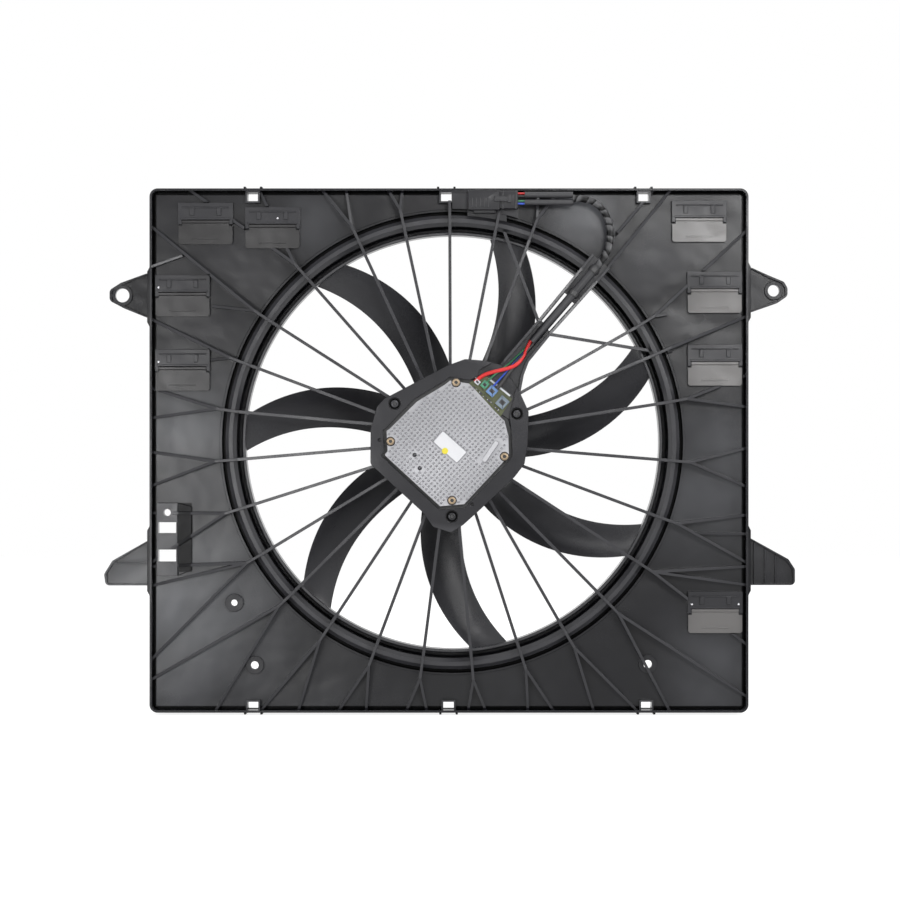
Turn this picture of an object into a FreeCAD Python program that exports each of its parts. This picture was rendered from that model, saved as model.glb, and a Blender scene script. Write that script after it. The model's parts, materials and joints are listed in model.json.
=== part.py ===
# Radiator cooling fan: ribbed shroud with hinged flaps, banded fan wheel, outer-rotor motor,
# motor controller and wiring loom.
# Millimetres. X points right and Z up as seen from the engine side, Y points to the radiator.
# The origin is on the fan axis, in the plane of the rim that seats on the radiator.
# A depth is measured from that plane towards the engine, so depth d lies at y = -d.

import FreeCAD, Part
import math
import os

# Shroud plate and its rim
panel_width = 666.0
panel_height = 583.0
panel_shift_x = -3.9
panel_shift_z = -9.2
corner_radius = 9.0
wall = 2.5
rim_depth = 46.0
plate_depth = 33.0
edge_groove_width = 4.0
edge_groove_depth = 20.5

# Fan wheel
fan_radius = 236.0
band_thickness = 3.4
band_lip = 2.4
band_start = 12.0
band_end = 44.0
blade_count = 7
blade_spans = 4
first_tip_angle = 22.6
blade_sweep = 17.2
sweep_power = 1.6
root_half_width = 21.8
tip_half_width = 19.6
root_pitch = 38.0
tip_pitch = 24.0
blade_mid_depth = 28.5
blade_thickness = 3.2
blade_edge = 1.2
camber_share = 0.08
hub_radius = 76.0
hub_wall = 3.0
hub_nose_depth = 5.0
hub_round = 12.0
hub_bevels = 4
hub_disc_depth = 13.0
hub_screw_seat = 8.5
hub_end = 48.0

# Fan ring
tip_gap = 3.7
barrel_start = 8.0
barrel_end = 52.0
lip_width = 12.3
lip_crest = 58.0
lip_bevel = 0.32
ring_groove_width = 5.0
ring_groove_depth = 22.0

# Ribs and spokes
rib_thickness = 3.0
spoke_thickness = 3.4
spoke_start_radius = 74.0
spoke_foot_hub = 60.0
spoke_foot_ring = 53.0
spoke_top_hub = 73.0
spoke_top_ring = 63.0
rib_top_wall = 42.0
fork_run = 5.0

# Motor mount ring, in the middle of the spokes
mount_radius = 92.0
mount_near = 58.0
mount_far = 74.0
mount_corner = 6.0
screw_pocket_radius = 7.0
screw_pocket_depth = 6.0

# Cable arm
arm_floor_near = 60.0
arm_rail_hub = 76.0
arm_rail_ring = 67.0

# Ears, tabs and bosses
ear_thickness = 6.0
ear_near = 4.0
ear_border = 2.2
ear_border_height = 5.0
left_bolt_radius = 7.8
right_bolt_radius = 6.5
bolt_boss_wall = 3.6
ear_corner = 6.0
left_ear_reach = 32.8
left_ear_z = 164.6
right_ear_reach = 30.6
right_ear_z = 169.9
left_tab_reach = 54.4
left_tab_rise = 53.3
left_tab_z = -160.3
right_tab_reach = 55.5
right_tab_rise = 55.6
right_tab_z = -159.8
tab_corner = 5.0
tab_rib = 1.6
root_pad = 2.6
root_slope = 10.0
boss_radius = 10.0
boss_height = 7.0

# Clip windows along the top and bottom
clip_width = 11.7
clip_height = 9.5
clip_wall = 2.0
clip_nub = 2.2
clip_inset = 9.4

# Flaps; their width fills the room between the ring and the right edge of the panel
flap_side_gap = 6.4
flap_ring_gap = 2.2
flap_pair_gap = 13.5
flap_height = 46.0
flap_window_side = 4.5
flap_window_drop = 6.0
flap_window_low = 3.0
flap_leaf_thickness = 2.5
flap_seat_height = 5.0
flap_rest_gap = 0.3
flap_pin_radius = 1.3
flap_corner = 2.0
flap_knuckle_radius = 3.0
flap_lug = 4.0
flap_hinge_rise = 2.0
flap_block_depth = 42.0
flap_play = 0.4
flap_shoulder_drop = 1.8
flap_axis_rise = 0.6
pin_clearance = 0.1

# Harness bracket
bracket_width = 23.0
bracket_height = 81.0
bracket_depth = 48.0
bracket_step = 15.0
bracket_step_height = 7.0
bracket_gap = 8.3
bracket_top = -67.5
bracket_hole_radius = 4.0
bracket_hole_drop = 10.6
bracket_frame = 1.5

# Motor
rotor_radius = 68.0
rotor_wall = 2.0
rotor_disc = 2.5
rotor_end = 46.0
magnet_count = 14
magnet_thickness = 3.6
air_gap = 1.0
tooth_count = 12
tooth_width = 8.0
stator_start = 22.0
stator_end = 42.0
tube_radius = 24.0
base_near = 50.5
base_radius = 70.0
base_lug = 9.0
coil_wall = 3.0
magnet_gap = 2.0
tooth_gap = 3.0
shaft_radius = 6.0
bearing_radius = 11.0
bearing_width = 7.0
seat_clearance = 0.05

# Controller
cover_far = 84.0
cover_wall = 3.0
cover_top = 4.0
mount_gap = 4.0
board_near = 66.0
board_thickness = 1.6
board_gap = 2.5
capacitor_radius = 6.5
capacitor_height = 11.0
chip_length = 9.0
chip_width = 10.0
chip_height = 4.6
chip_pitch = 13.0
guard_height = 3.9
guard_thickness = 2.0

# Screws
motor_screw_radius = 3.0
motor_head_radius = 4.8
motor_head_height = 4.0
cover_screw_radius = 2.0
cover_head_radius = 4.4
cover_head_height = 3.0
cover_screw_drop = 5.0
hub_screw_count = 3
hub_screw_circle = 30.0
hub_screw_radius = 2.5
hub_head_radius = 4.6

# Loom
power_wire = 4.2
signal_wire = 2.2
arm_sleeve = 9.6
loom_diameter = 9.0
plug_sleeve = 6.6
plug_width = 55.0
plug_height = 22.0
plug_depth = 20.0
plug_left = 17.5
plug_ring_gap = 5.4
plug_gap = 0.3
plug_split = 0.63
shelf_drop = 3.0
latch_width = 6.0
latch_thickness = 2.5
plateau_depth = 46.0
plateau_side = 18.0
plug_wire_rise = 11.0
tail_length = 7.5
plug_sleeve_length = 53.5
upper_sleeve_rise = 17.0
lower_sleeve_rise = 8.7
tail_spread = 1.5
tie_wall = 1.4
tie_head_width = 5.0
tie_head_height = 3.2
tie_places = [0.62, 0.93]
tie_share = 0.045

# Places worked out from the dimensions above
panel_left = panel_shift_x - panel_width / 2
panel_right = panel_shift_x + panel_width / 2
panel_top = panel_shift_z + panel_height / 2
panel_bottom = panel_shift_z - panel_height / 2
barrel_radius = fan_radius + tip_gap
groove_radius = barrel_radius + lip_width
ring_radius = groove_radius + ring_groove_width + wall
fork_radius = ring_radius + fork_run
band_radius = fan_radius - band_lip
band_inner = band_radius - band_thickness
hub_inner = hub_radius - hub_wall
left_ear_x = panel_left - left_ear_reach
right_ear_x = panel_right + right_ear_reach
flap_width = panel_right - ring_radius - flap_side_gap - flap_ring_gap
flap_window_width = flap_width - 2 * flap_window_side
flap_leaf_near = plate_depth + flap_seat_height + flap_rest_gap
flap_axis_depth = flap_leaf_near + flap_axis_rise
plug_low = groove_radius + plug_ring_gap
plug_high = plug_low + plug_height
plug_front = plug_left + plug_width
plug_middle = plug_left + plug_width * plug_split
plug_wire_depth = plateau_depth + plug_wire_rise
upper_sleeve_z = plug_low + upper_sleeve_rise
lower_sleeve_z = plug_low + lower_sleeve_rise
under_plate = plate_depth - wall - 1
bearing_front = stator_start - 1
bearing_rear = stator_end
beyond = mount_far + 50.0


def at(x, z, depth=0.0):
    return FreeCAD.Vector(x, -depth, z)


def around(radius, degrees):
    turn = math.radians(degrees)
    return radius * math.cos(turn), radius * math.sin(turn)


def block(x0, x1, z0, z1, near, far):
    return Part.makeBox(x1 - x0, far - near, z1 - z0, at(x0, z0, far))


def disc(radius, near, far, x=0.0, z=0.0):
    return Part.makeCylinder(radius, far - near, at(x, z, near), FreeCAD.Vector(0, -1, 0))


def tube(inner, outer, near, far, x=0.0, z=0.0):
    return disc(outer, near, far, x, z).cut(disc(inner, near - 1, far + 1, x, z))


def fuse_all(shapes):
    merged = shapes[0].multiFuse(shapes[1:]) if len(shapes) > 1 else shapes[0]
    return merged.removeSplitter()


def prism(points, near, far):
    corners = [at(x, z, near) for x, z in points]
    face = Part.Face(Part.makePolygon(corners + corners[:1]))
    return face.extrude(FreeCAD.Vector(0, near - far, 0))


# A closed outline with every corner rounded by an arc, no larger than its two sides allow.
def rounded_prism(points, radius, near, far):
    corners = [at(x, z, near) for x, z in points]
    count = len(corners)
    edges = []
    arcs = []
    for index in range(count):
        corner = corners[index]
        back = corners[index - 1] - corner
        ahead = corners[(index + 1) % count] - corner
        half = back.getAngle(ahead) / 2
        reach = min(radius / math.tan(half), 0.45 * min(back.Length, ahead.Length))
        size = reach * math.tan(half)
        back.normalize()
        ahead.normalize()
        inward = back + ahead
        inward.normalize()
        middle = corner + inward * (size / math.sin(half) - size)
        arcs.append((corner + back * reach, middle, corner + ahead * reach))
    for index in range(count):
        start, middle, end = arcs[index]
        edges.append(Part.Arc(start, middle, end).toShape())
        edges.append(Part.LineSegment(end, arcs[(index + 1) % count][0]).toShape())
    face = Part.Face(Part.Wire(edges))
    return face.extrude(FreeCAD.Vector(0, near - far, 0))


# Points of the outline are (radius, depth); a middle point makes the stretch an arc.
def turned(stretches):
    edges = []
    for stretch in stretches:
        points = [at(radius, 0, depth) for radius, depth in stretch]
        if len(points) == 3:
            edges.append(Part.Arc(*points).toShape())
        else:
            edges.append(Part.makeLine(*points))
    face = Part.Face(Part.Wire(edges))
    return face.revolve(FreeCAD.Vector(0, 0, 0), FreeCAD.Vector(0, 1, 0), 360)


def turned_polygon(points):
    return turned([(points[i], points[(i + 1) % len(points)]) for i in range(len(points))])


# An upright web from one point to another, with its own foot and top depth at each end.
def web(start, end, thickness, foot0, top0, foot1, top1):
    x0, z0 = start
    x1, z1 = end
    length = math.hypot(x1 - x0, z1 - z0)
    side_x = -(z1 - z0) / length * thickness / 2
    side_z = (x1 - x0) / length * thickness / 2
    corners = [
        at(x0 - side_x, z0 - side_z, foot0),
        at(x0 - side_x, z0 - side_z, top0),
        at(x1 - side_x, z1 - side_z, top1),
        at(x1 - side_x, z1 - side_z, foot1),
    ]
    face = Part.Face(Part.makePolygon(corners + corners[:1]))
    return face.extrude(FreeCAD.Vector(2 * side_x, 0, 2 * side_z))


def turn_about_axis(shape, degrees):
    copy = shape.copy()
    copy.rotate(FreeCAD.Vector(0, 0, 0), FreeCAD.Vector(0, -1, 0), degrees)
    return copy


def save(name, shape):
    shape.exportStep("parts/" + name + ".step")
    faces = len(shape.tessellate(0.2)[1])
    print(name, "solids", len(shape.Solids), "valid", shape.isValid(), "triangles", faces)
    return faces


# Each spoke: its angle at the motor mount, its angle at the ring, and the places on the
# panel's edges where the rib behind it ends.
spokes = [
    (91.9, 90.7, [("top", -2.8)]),
    (78.0, 78.5, []),
    (67.7, 69.2, [("top", 95.6), ("top", 119.5)]),
    (37.6, 32.0, [("right", 236.1)]),
    (23.8, 23.4, [("right", 140.4)]),
    (14.3, 10.5, [("right", 74.8), ("right", 39.3)]),
    (354.9, 355.2, [("right", -6.3), ("right", -49.7)]),
    (341.4, 340.1, [("right", -80.8), ("right", -134.2)]),
    (327.6, 327.1, [("right", -138.2), ("right", -158.7), ("right", -225.4)]),
    (313.2, 314.1, [("bottom", 241.9), ("right", -283.2)]),
    (302.9, 300.7, [("bottom", 157.3), ("bottom", 206.3)]),
    (288.0, 287.9, [("bottom", 84.0), ("bottom", 112.9)]),
    (274.4, 275.0, [("bottom", 17.2), ("bottom", 37.3)]),
    (261.0, 262.2, [("bottom", -51.7), ("bottom", -28.4)]),
    (249.5, 249.5, [("bottom", -127.3), ("bottom", -96.2)]),
    (235.2, 236.2, [("bottom", -214.1), ("bottom", -171.8)]),
    (219.7, 223.3, [("left", -264.3), ("bottom", -264.1)]),
    (208.5, 210.4, [("left", -138.3), ("left", -242.1), ("left", -159.8)]),
    (196.9, 197.4, [("left", -78.6), ("left", -134.2)]),
    (184.0, 184.6, [("left", -10.8), ("left", -48.6)]),
    (165.4, 171.9, [("left", 60.3), ("left", 27.0)]),
    (158.8, 159.2, [("left", 137.1)]),
    (144.1, 146.4, [("left", 240.5)]),
    (131.9, 131.5, [("top", -293.0), ("top", -215.2)]),
    (115.4, 115.0, [("top", -145.1), ("top", -118.4)]),
    (103.8, 102.7, [("top", -71.7), ("top", -55.6)]),
]

# Flaps: the side of the panel, the gap to its edge, the edge above or below and the drop from it
flap_places = [
    ("left", 31.5, "top", 38.7),
    ("left", 31.5 + flap_width + flap_pair_gap, "top", 43.4),
    ("left", 5.9, "top", 119.1),
    ("left", 5.9, "top", 201.9),
    ("right", 23.9, "top", 36.2),
    ("right", 6.7, "top", 115.2),
    ("right", flap_side_gap, "top", 196.3),
    ("right", 6.1, "bottom", 111.4),
]

# Centres of the clip windows along each edge
clip_stations_top = [-222.2, -6.9, 212.6]
clip_stations_bottom = [-221.8, -4.4, 215.5]

# Bosses on the lower half of the plate: x, z and hole radius
bosses = [(-243.0, -178.7, 3.6), (-220.2, -248.2, 4.4), (217.4, -247.1, 4.7)]

# Windows of the harness bracket: how far their upper and lower edges lie below its top
bracket_windows = [(21.3, 33.5), (51.7, 65.1)]

# Mount ring outline: angle and share of the mount radius, anticlockwise from the right
mount_outline = [
    (358.0, 0.9),
    (21.8, 0.985),
    (37.4, 1.01),
    (57.9, 1.10),
    (70.0, 1.045),
    (81.4, 1.01),
    (93.4, 0.925),
    (147.3, 0.97),
    (154.6, 1.0),
    (171.4, 0.995),
    (194.9, 1.02),
    (248.0, 0.92),
    (257.0, 1.04),
    (269.0, 1.085),
    (277.4, 1.0),
    (290.4, 0.885),
    (330.6, 0.853),
    (343.2, 0.903),
]

# Controller cover outline, and the place on it where the board reaches out to its terminals
cover_outline = [
    (-8.3, 63.7),
    (-2.8, 68.2),
    (18.3, 64.8),
    (26.1, 57.0),
    (46.1, 34.8),
    (57.3, 23.7),
    (61.7, 7.0),
    (62.3, -14.1),
    (55.0, -23.0),
    (12.8, -68.6),
    (-13.9, -70.8),
    (-75.1, -14.1),
    (-71.7, -9.7),
    (-72.8, 12.6),
    (-69.5, 14.8),
    (-39.5, 44.8),
]
tongue_outline = [(14.0, 61.0), (19.5, 66.5), (36.0, 75.0), (66.0, 48.0), (52.0, 27.0), (36.0, 38.0)]
tongue_room = [(36.0, 77.0), (68.6, 50.6), (63.0, 30.0)]
cable_mouth = [(26.0, 66.0), (30.0, 80.0), (54.0, 94.0), (72.0, 62.0), (66.0, 48.0)]
mouth_floor = 66.0
locating_holes = [(-80.6, 2.6), (21.7, -68.6)]
locating_hole_radius = 2.0
capacitor_places = [(-30.0, 20.0), (-14.0, 34.0), (2.0, 20.0)]
first_chip = (-36.0, -24.0)
chip_count = 6
guard_ends = [(40.0, 70.3), (63.5, 51.2)]

motor_screws = [around(76.8, 146.3), around(77.8, 23.9), around(82.0, 269.6)]
cover_screws = [(3.9, 65.9), (-68.4, 0.9), (57.3, -15.8), (-0.6, -64.2)]

# Cable arm: the two rails from the mount to the ring
left_rail = [(54.0, 86.0), (95.1, 133.8), around(barrel_radius + 13.9, 53.2)]
right_rail = [(73.8, 56.4), (77.3, 74.8), (82.8, 89.3), (107.3, 119.5), around(barrel_radius + 11.7, 48.1)]
arm_slot_gap = 4.0
arm_slot_width = 3.0
left_brace_angle = 76.6
right_brace_angle = 24.6


def toward(start, end, share):
    return tuple(a + (b - a) * share for a, b in zip(start, end))


def wall_point(side, station):
    reach = wall / 2
    if side == "left":
        return panel_left + reach, station
    if side == "right":
        return panel_right - reach, station
    if side == "top":
        return station, panel_top - reach
    return station, panel_bottom + reach


def panel_outline(inset):
    low_x = panel_left + inset
    high_x = panel_right - inset
    low_z = panel_bottom + inset
    high_z = panel_top - inset
    return [(low_x, low_z), (high_x, low_z), (high_x, high_z), (low_x, high_z)]


def panel_slab(inset, near, far):
    return rounded_prism(panel_outline(inset), max(corner_radius - inset, 1.0), near, far)


# The plate stands forward of the rim's floor, with a groove all round its edge.
def plate_and_rim():
    groove_in = wall + edge_groove_width
    floor_near = edge_groove_depth - wall
    body = panel_slab(0, 0, rim_depth)
    back = panel_slab(wall, -1, floor_near)
    front = panel_slab(wall, edge_groove_depth, rim_depth + 1)
    raised = panel_slab(groove_in, floor_near, plate_depth)
    hollow = panel_slab(groove_in + wall, floor_near - 1, plate_depth - wall)
    shell = body.cut(back).cut(front).fuse(raised).cut(hollow)
    return shell.cut(disc(ring_radius, -1, rim_depth + 1))


def plate_ribs():
    ribs = []
    for hub_angle, ring_angle, ends in spokes:
        if not ends:
            continue
        start = around(ring_radius - 2, ring_angle)
        fork = around(fork_radius, ring_angle)
        foot = plate_depth - 1
        ribs.append(web(start, fork, rib_thickness, foot, spoke_top_ring, foot, spoke_top_ring))
        for side, station in ends:
            end = wall_point(side, station)
            ribs.append(web(fork, end, rib_thickness, foot, spoke_top_ring, foot, rib_top_wall))
    return ribs


# Rails on the plate that carry on the line of the cable arm to the top edge
def plate_rails():
    foot = plate_depth - 1
    left_start = around(ring_radius + 36.4, 51.8)
    left_end = wall_point("top", 224.0)
    right_start = around(ring_radius - 3, 48.3)
    right_end = wall_point("top", 243.0)
    return [
        web(left_start, left_end, rib_thickness, foot, arm_rail_ring - 12, foot, rib_top_wall),
        web(right_start, right_end, rib_thickness, foot, arm_rail_ring, foot, rib_top_wall),
    ]


# Single ribs that branch off beside the fans of ribs, to an ear, a flap or the wall
def short_ribs():
    foot = plate_depth - 1
    branch = toward(around(fork_radius, 340.1), wall_point("right", -134.2), 0.25)
    spans = [
        (wall_point("left", 194.9), (panel_left + 37.2, 208.3)),
        (around(fork_radius, 146.4), (panel_left + 69.5, 151.6)),
        (around(fork_radius, 159.2), (panel_left + 66.1, 91.5)),
        (around(fork_radius, 32.0), around(ring_radius + 19.0, 30.8)),
        (around(ring_radius - 2, 23.0), around(ring_radius + 4.9, 22.6)),
        (branch, wall_point("right", -102.0)),
    ]
    return [web(start, end, rib_thickness, foot, rib_top_wall + 6, foot, rib_top_wall) for start, end in spans]


# Moves every point of an outline towards its middle by the same amount.
def plate_inset(points, inset):
    middle_x = sum(x for x, z in points) / len(points)
    middle_z = sum(z for x, z in points) / len(points)
    moved = []
    for x, z in points:
        length = math.hypot(x - middle_x, z - middle_z)
        share = 1 - 1.3 * inset / length
        moved.append((middle_x + (x - middle_x) * share, middle_z + (z - middle_z) * share))
    return moved


# The rim swells a little beside each ear and tab.
def root_pads():
    pads = []
    for edge, side, ear_z, tab_z in ((panel_left, -1, left_ear_z, left_tab_z),
                                     (panel_right, 1, right_ear_z, right_tab_z)):
        inner = edge - side * root_pad
        outer = edge + side * root_pad
        for high, low in ((ear_z + 35, ear_z - 41), (tab_z + 72, tab_z - 15)):
            points = [(inner, high), (outer, high - root_slope), (outer, low + root_slope), (inner, low)]
            pads.append(prism(points, 0, rim_depth))
    return pads


# What lies beside the rim, cut so that it meets the rim face to face
def beside_rim(shape):
    for inner in [panel_slab(0, -1, rim_depth + 1)] + root_pads():
        shape = shape.cut(inner)
    return shape.removeSplitter()


# A flat tray with a border round it
def tray(points, corner):
    far = ear_near + ear_thickness
    top = far + ear_border_height
    body = rounded_prism(points, corner, ear_near, top)
    inner = rounded_prism(plate_inset(points, ear_border), corner - 2, far, top + 1)
    return body.cut(inner)


def ear(points, hole, hole_radius):
    top = ear_near + ear_thickness + ear_border_height
    boss = disc(hole_radius + bolt_boss_wall, ear_near, top, *hole)
    body = tray(points, ear_corner).fuse(boss)
    return beside_rim(body.cut(disc(hole_radius, ear_near - 1, top + 1, *hole)))


def left_ear():
    root = panel_left + 1
    tip = left_ear_x - left_bolt_radius - bolt_boss_wall - 3
    points = [
        (root, left_ear_z + 27.0),
        (left_ear_x - 2, left_ear_z + 14.0),
        (tip, left_ear_z + 6.0),
        (tip, left_ear_z - 6.0),
        (left_ear_x + 2, left_ear_z - 14.6),
        (root, left_ear_z - 27.5),
    ]
    return ear(points, (left_ear_x, left_ear_z), left_bolt_radius)


def right_ear():
    root = panel_right - 1
    tip = right_ear_x + right_bolt_radius + bolt_boss_wall + 5.5
    points = [
        (root, right_ear_z + 29.0),
        (right_ear_x - 6, right_ear_z + 17.3),
        (tip - 4, right_ear_z + 10.0),
        (tip, right_ear_z + 3.0),
        (tip, right_ear_z - 6.0),
        (right_ear_x + 4, right_ear_z - 14.0),
        (root, right_ear_z - 26.5),
    ]
    return ear(points, (right_ear_x, right_ear_z), right_bolt_radius)


# Wedge-shaped tabs low on each side: trays with inner ribs
def left_tab():
    far = ear_near + ear_thickness
    top = far + ear_border_height
    root = panel_left + 1
    points = [
        (root, left_tab_z + left_tab_rise),
        (root - 0.83 * left_tab_reach, left_tab_z + 0.52 * left_tab_rise),
        (root - left_tab_reach, left_tab_z + 0.24 * left_tab_rise),
        (root - left_tab_reach + 1.7, left_tab_z),
        (root, left_tab_z),
    ]
    rib_z = left_tab_z + 0.47 * left_tab_rise
    rib = web((root, rib_z), (root - 0.8 * left_tab_reach, rib_z), tab_rib, far - 1, top, far - 1, top)
    return beside_rim(fuse_all([tray(points, tab_corner), rib]))


def right_tab():
    far = ear_near + ear_thickness
    top = far + ear_border_height
    root = panel_right - 1
    slope = 0.48 * right_tab_rise
    shoulder = 0.87 * right_tab_reach
    points = [
        (root, right_tab_z + right_tab_rise),
        (root + shoulder, right_tab_z + right_tab_rise - slope),
        (root + right_tab_reach, right_tab_z + 0.32 * right_tab_rise),
        (root + right_tab_reach, right_tab_z),
        (root, right_tab_z),
    ]
    solids = [tray(points, tab_corner)]
    for share in (0.18, 0.4, 0.61):
        x = root + share * right_tab_reach
        high = right_tab_z + right_tab_rise - slope * share * right_tab_reach / shoulder - 3
        solids.append(web((x, right_tab_z + 1.3), (x, high), tab_rib, far - 1, top - 2, far - 1, top - 2))
    return beside_rim(fuse_all(solids))


def clip_centres():
    top_z = panel_top - clip_inset
    bottom_z = panel_bottom + clip_inset - 2
    centres = [(x, top_z, 1) for x in clip_stations_top]
    return centres + [(x, bottom_z, -1) for x in clip_stations_bottom]


def clip_boxes():
    boxes = []
    holes = []
    half_x = clip_width / 2
    half_z = clip_height / 2
    near = edge_groove_depth - wall
    for x, z, side in clip_centres():
        out_x = half_x + clip_wall
        out_z = half_z + clip_wall
        boxes.append(block(x - out_x, x + out_x, z - out_z, z + out_z, near, rim_depth))
        holes.append(block(x - half_x, x + half_x, z - half_z, z + half_z, -1, rim_depth + 30))
        edge = panel_top if side > 0 else panel_bottom
        low = min(edge - side * wall, edge + side * clip_nub)
        high = max(edge - side * wall, edge + side * clip_nub)
        for nub_x in (x - out_x - 2.5, x + out_x):
            boxes.append(block(nub_x, nub_x + 2.5, low, high, near, rim_depth - 4))
    return boxes, holes


def flap_centres():
    centres = []
    for side, gap, edge, drop in flap_places:
        reach = gap + flap_width / 2
        x = panel_left + reach if side == "left" else panel_right - reach
        z = panel_top - drop if edge == "top" else panel_bottom + drop
        centres.append((x, z))
    return centres


# Each flap has a hinge block with two lugs above a window with a raised seat.
def flap_seats():
    solids = []
    cuts = []
    clear = []
    half = flap_width / 2
    half_window = flap_window_width / 2
    seat_far = plate_depth + flap_seat_height
    base = plate_depth - 1
    for x, z in flap_centres():
        hinge = z + flap_hinge_rise
        top = z + flap_height / 2
        low = z - flap_height / 2
        window_high = hinge - flap_window_drop
        window_low = low + flap_window_low
        knuckle_room = hinge + flap_knuckle_radius + 2 * pin_clearance + flap_play
        seat = block(x - half_window - wall, x + half_window + wall, window_low - wall,
                     window_high + wall - pin_clearance, plate_depth - wall, seat_far)
        solids.append(seat)
        solids.append(block(x - half, x + half, knuckle_room, top, base, flap_block_depth))
        for lug_x in (x - half, x + half - flap_lug):
            solids.append(block(lug_x, lug_x + flap_lug, hinge - flap_knuckle_radius, top,
                                base, flap_block_depth))
        start = at(x - half - 1, hinge, flap_axis_depth)
        cuts.append(Part.makeCylinder(flap_pin_radius + pin_clearance, flap_width + 2, start,
                                      FreeCAD.Vector(1, 0, 0)))
        cuts.append(block(x - half_window, x + half_window, window_low, window_high,
                          under_plate, seat_far + 1))
        side = half + 2 * flap_play
        clear.append(block(x - side, x + side, low - 2 * flap_play, top + 2 * flap_play,
                           plate_depth, beyond))
    return solids, cuts, clear


# The eight-sided roll along the top of a flap
def flap_knuckle(start_x, length, hinge):
    corners = []
    for index in range(8):
        out, up = around(flap_knuckle_radius, 22.5 + 45 * index)
        corners.append(at(start_x, hinge + up, flap_axis_depth + out))
    face = Part.Face(Part.makePolygon(corners + corners[:1]))
    return face.extrude(FreeCAD.Vector(length, 0, 0))


# A flap turns on two short trunnions that snap into the lugs beside it.
def flap_leaf(x, z):
    hinge = z + flap_hinge_rise
    half = flap_width / 2 - flap_play
    inner = half - flap_lug
    low = z - flap_height / 2
    far = flap_leaf_near + flap_leaf_thickness
    shoulder = hinge - flap_knuckle_radius - flap_shoulder_drop
    points = [
        (x - half + flap_corner, low),
        (x + half - flap_corner, low),
        (x + half, low + flap_corner),
        (x + half, shoulder),
        (x + inner, shoulder),
        (x + inner, hinge),
        (x - inner, hinge),
        (x - inner, shoulder),
        (x - half, shoulder),
        (x - half, low + flap_corner),
    ]
    leaf = prism(points, flap_leaf_near, far)
    along = FreeCAD.Vector(1, 0, 0)
    knuckle = flap_knuckle(x - inner, 2 * inner, hinge)
    tip = at(x - half, hinge, flap_axis_depth)
    trunnions = Part.makeCylinder(flap_pin_radius, 2 * half, tip, along)
    return fuse_all([leaf, knuckle, trunnions])


# A hollow bracket for the engine harness, low on the left, with two clip windows
def harness_bracket():
    left = panel_left + bracket_gap
    right = left + bracket_width
    low = bracket_top - bracket_height
    near = plate_depth - 1
    front = block(left, right, low, bracket_top, near, bracket_depth)
    side = prism([(right - 1, low), (right + bracket_step, low + 6),
                  (right + bracket_step, bracket_top - 4), (right - 1, bracket_top)],
                 near, plate_depth + bracket_step_height)
    holes = []
    for high, window_low in bracket_windows:
        holes.append(block(left + bracket_frame, right - bracket_frame, bracket_top - window_low,
                           bracket_top - high, under_plate, bracket_depth + 1))
    holes.append(disc(bracket_hole_radius, under_plate, bracket_depth + 1, left + bracket_width / 2,
                      bracket_top - bracket_hole_drop))
    return [front, side], holes


# A smooth plateau behind the plug covers the ring groove.
def plug_plateau():
    return block(plug_left - plateau_side, plug_front, barrel_radius - 4, panel_top - 1,
                 plate_depth - 1, plateau_depth)


# The space that the plug and the sleeves behind it take above the plateau and the ribs
def plug_room():
    body = block(plug_left - plug_gap, plug_front + plug_gap, plug_low - shelf_drop - plug_gap,
                 plug_high + plug_gap, plateau_depth, beyond)
    sleeve_low = lower_sleeve_z - plug_sleeve / 2 - plug_gap
    sleeve_high = upper_sleeve_z + plug_sleeve / 2 + plug_gap
    sleeve_floor = plug_wire_depth - plug_sleeve / 2 - plug_gap
    sleeves = block(plug_front, plug_front + tail_length + plug_sleeve_length, sleeve_low,
                    sleeve_high, sleeve_floor, beyond)
    return body.fuse(sleeves)


def shroud_panel():
    seats, seat_cuts, seat_clear = flap_seats()
    clip_solids, clip_holes = clip_boxes()
    bracket, bracket_holes = harness_bracket()
    ribs = fuse_all(plate_ribs() + plate_rails() + short_ribs())
    ribs = ribs.cut(Part.makeCompound(seat_clear))
    ribs = ribs.common(panel_slab(wall / 2, 0, beyond))
    boss_far = plate_depth + boss_height
    boss_solids = [disc(boss_radius, plate_depth - wall, boss_far, x, z) for x, z, r in bosses]
    solids = [plate_and_rim(), ribs, plug_plateau()]
    solids += seats + clip_solids + bracket + boss_solids + root_pads()
    body = fuse_all(solids)
    body = body.cut(disc(ring_radius, -1, beyond)).cut(plug_room())
    behind_pads = panel_slab(wall, 0.5, edge_groove_depth - wall)
    body = body.cut(behind_pads.cut(disc(ring_radius + 1, 0, rim_depth)))
    holes = seat_cuts + clip_holes + bracket_holes
    holes += [disc(r, under_plate, boss_far + 1, x, z) for x, z, r in bosses]
    return body.cut(Part.makeCompound(holes)).removeSplitter()


def ring_section():
    rb = barrel_radius
    rg = groove_radius
    ro = ring_radius
    inner_crest = lip_crest - wall - 1
    bevel = lip_width * lip_bevel
    floor_back = ring_groove_depth - wall
    return turned([
        ((rb, barrel_start), (rb, barrel_end)),
        ((rb, barrel_end), (rb + bevel, lip_crest)),
        ((rb + bevel, lip_crest), (rg - bevel, lip_crest)),
        ((rg - bevel, lip_crest), (rg, barrel_end)),
        ((rg, barrel_end), (rg, ring_groove_depth)),
        ((rg, ring_groove_depth), (rg + ring_groove_width, ring_groove_depth)),
        ((rg + ring_groove_width, ring_groove_depth), (rg + ring_groove_width, plate_depth)),
        ((rg + ring_groove_width, plate_depth), (ro, plate_depth)),
        ((ro, plate_depth), (ro, floor_back)),
        ((ro, floor_back), (rg - wall, floor_back)),
        ((rg - wall, floor_back), (rg - wall, inner_crest)),
        ((rg - wall, inner_crest), (rb + wall, inner_crest)),
        ((rb + wall, inner_crest), (rb + wall, barrel_start)),
        ((rb + wall, barrel_start), (rb, barrel_start)),
    ])


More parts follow.
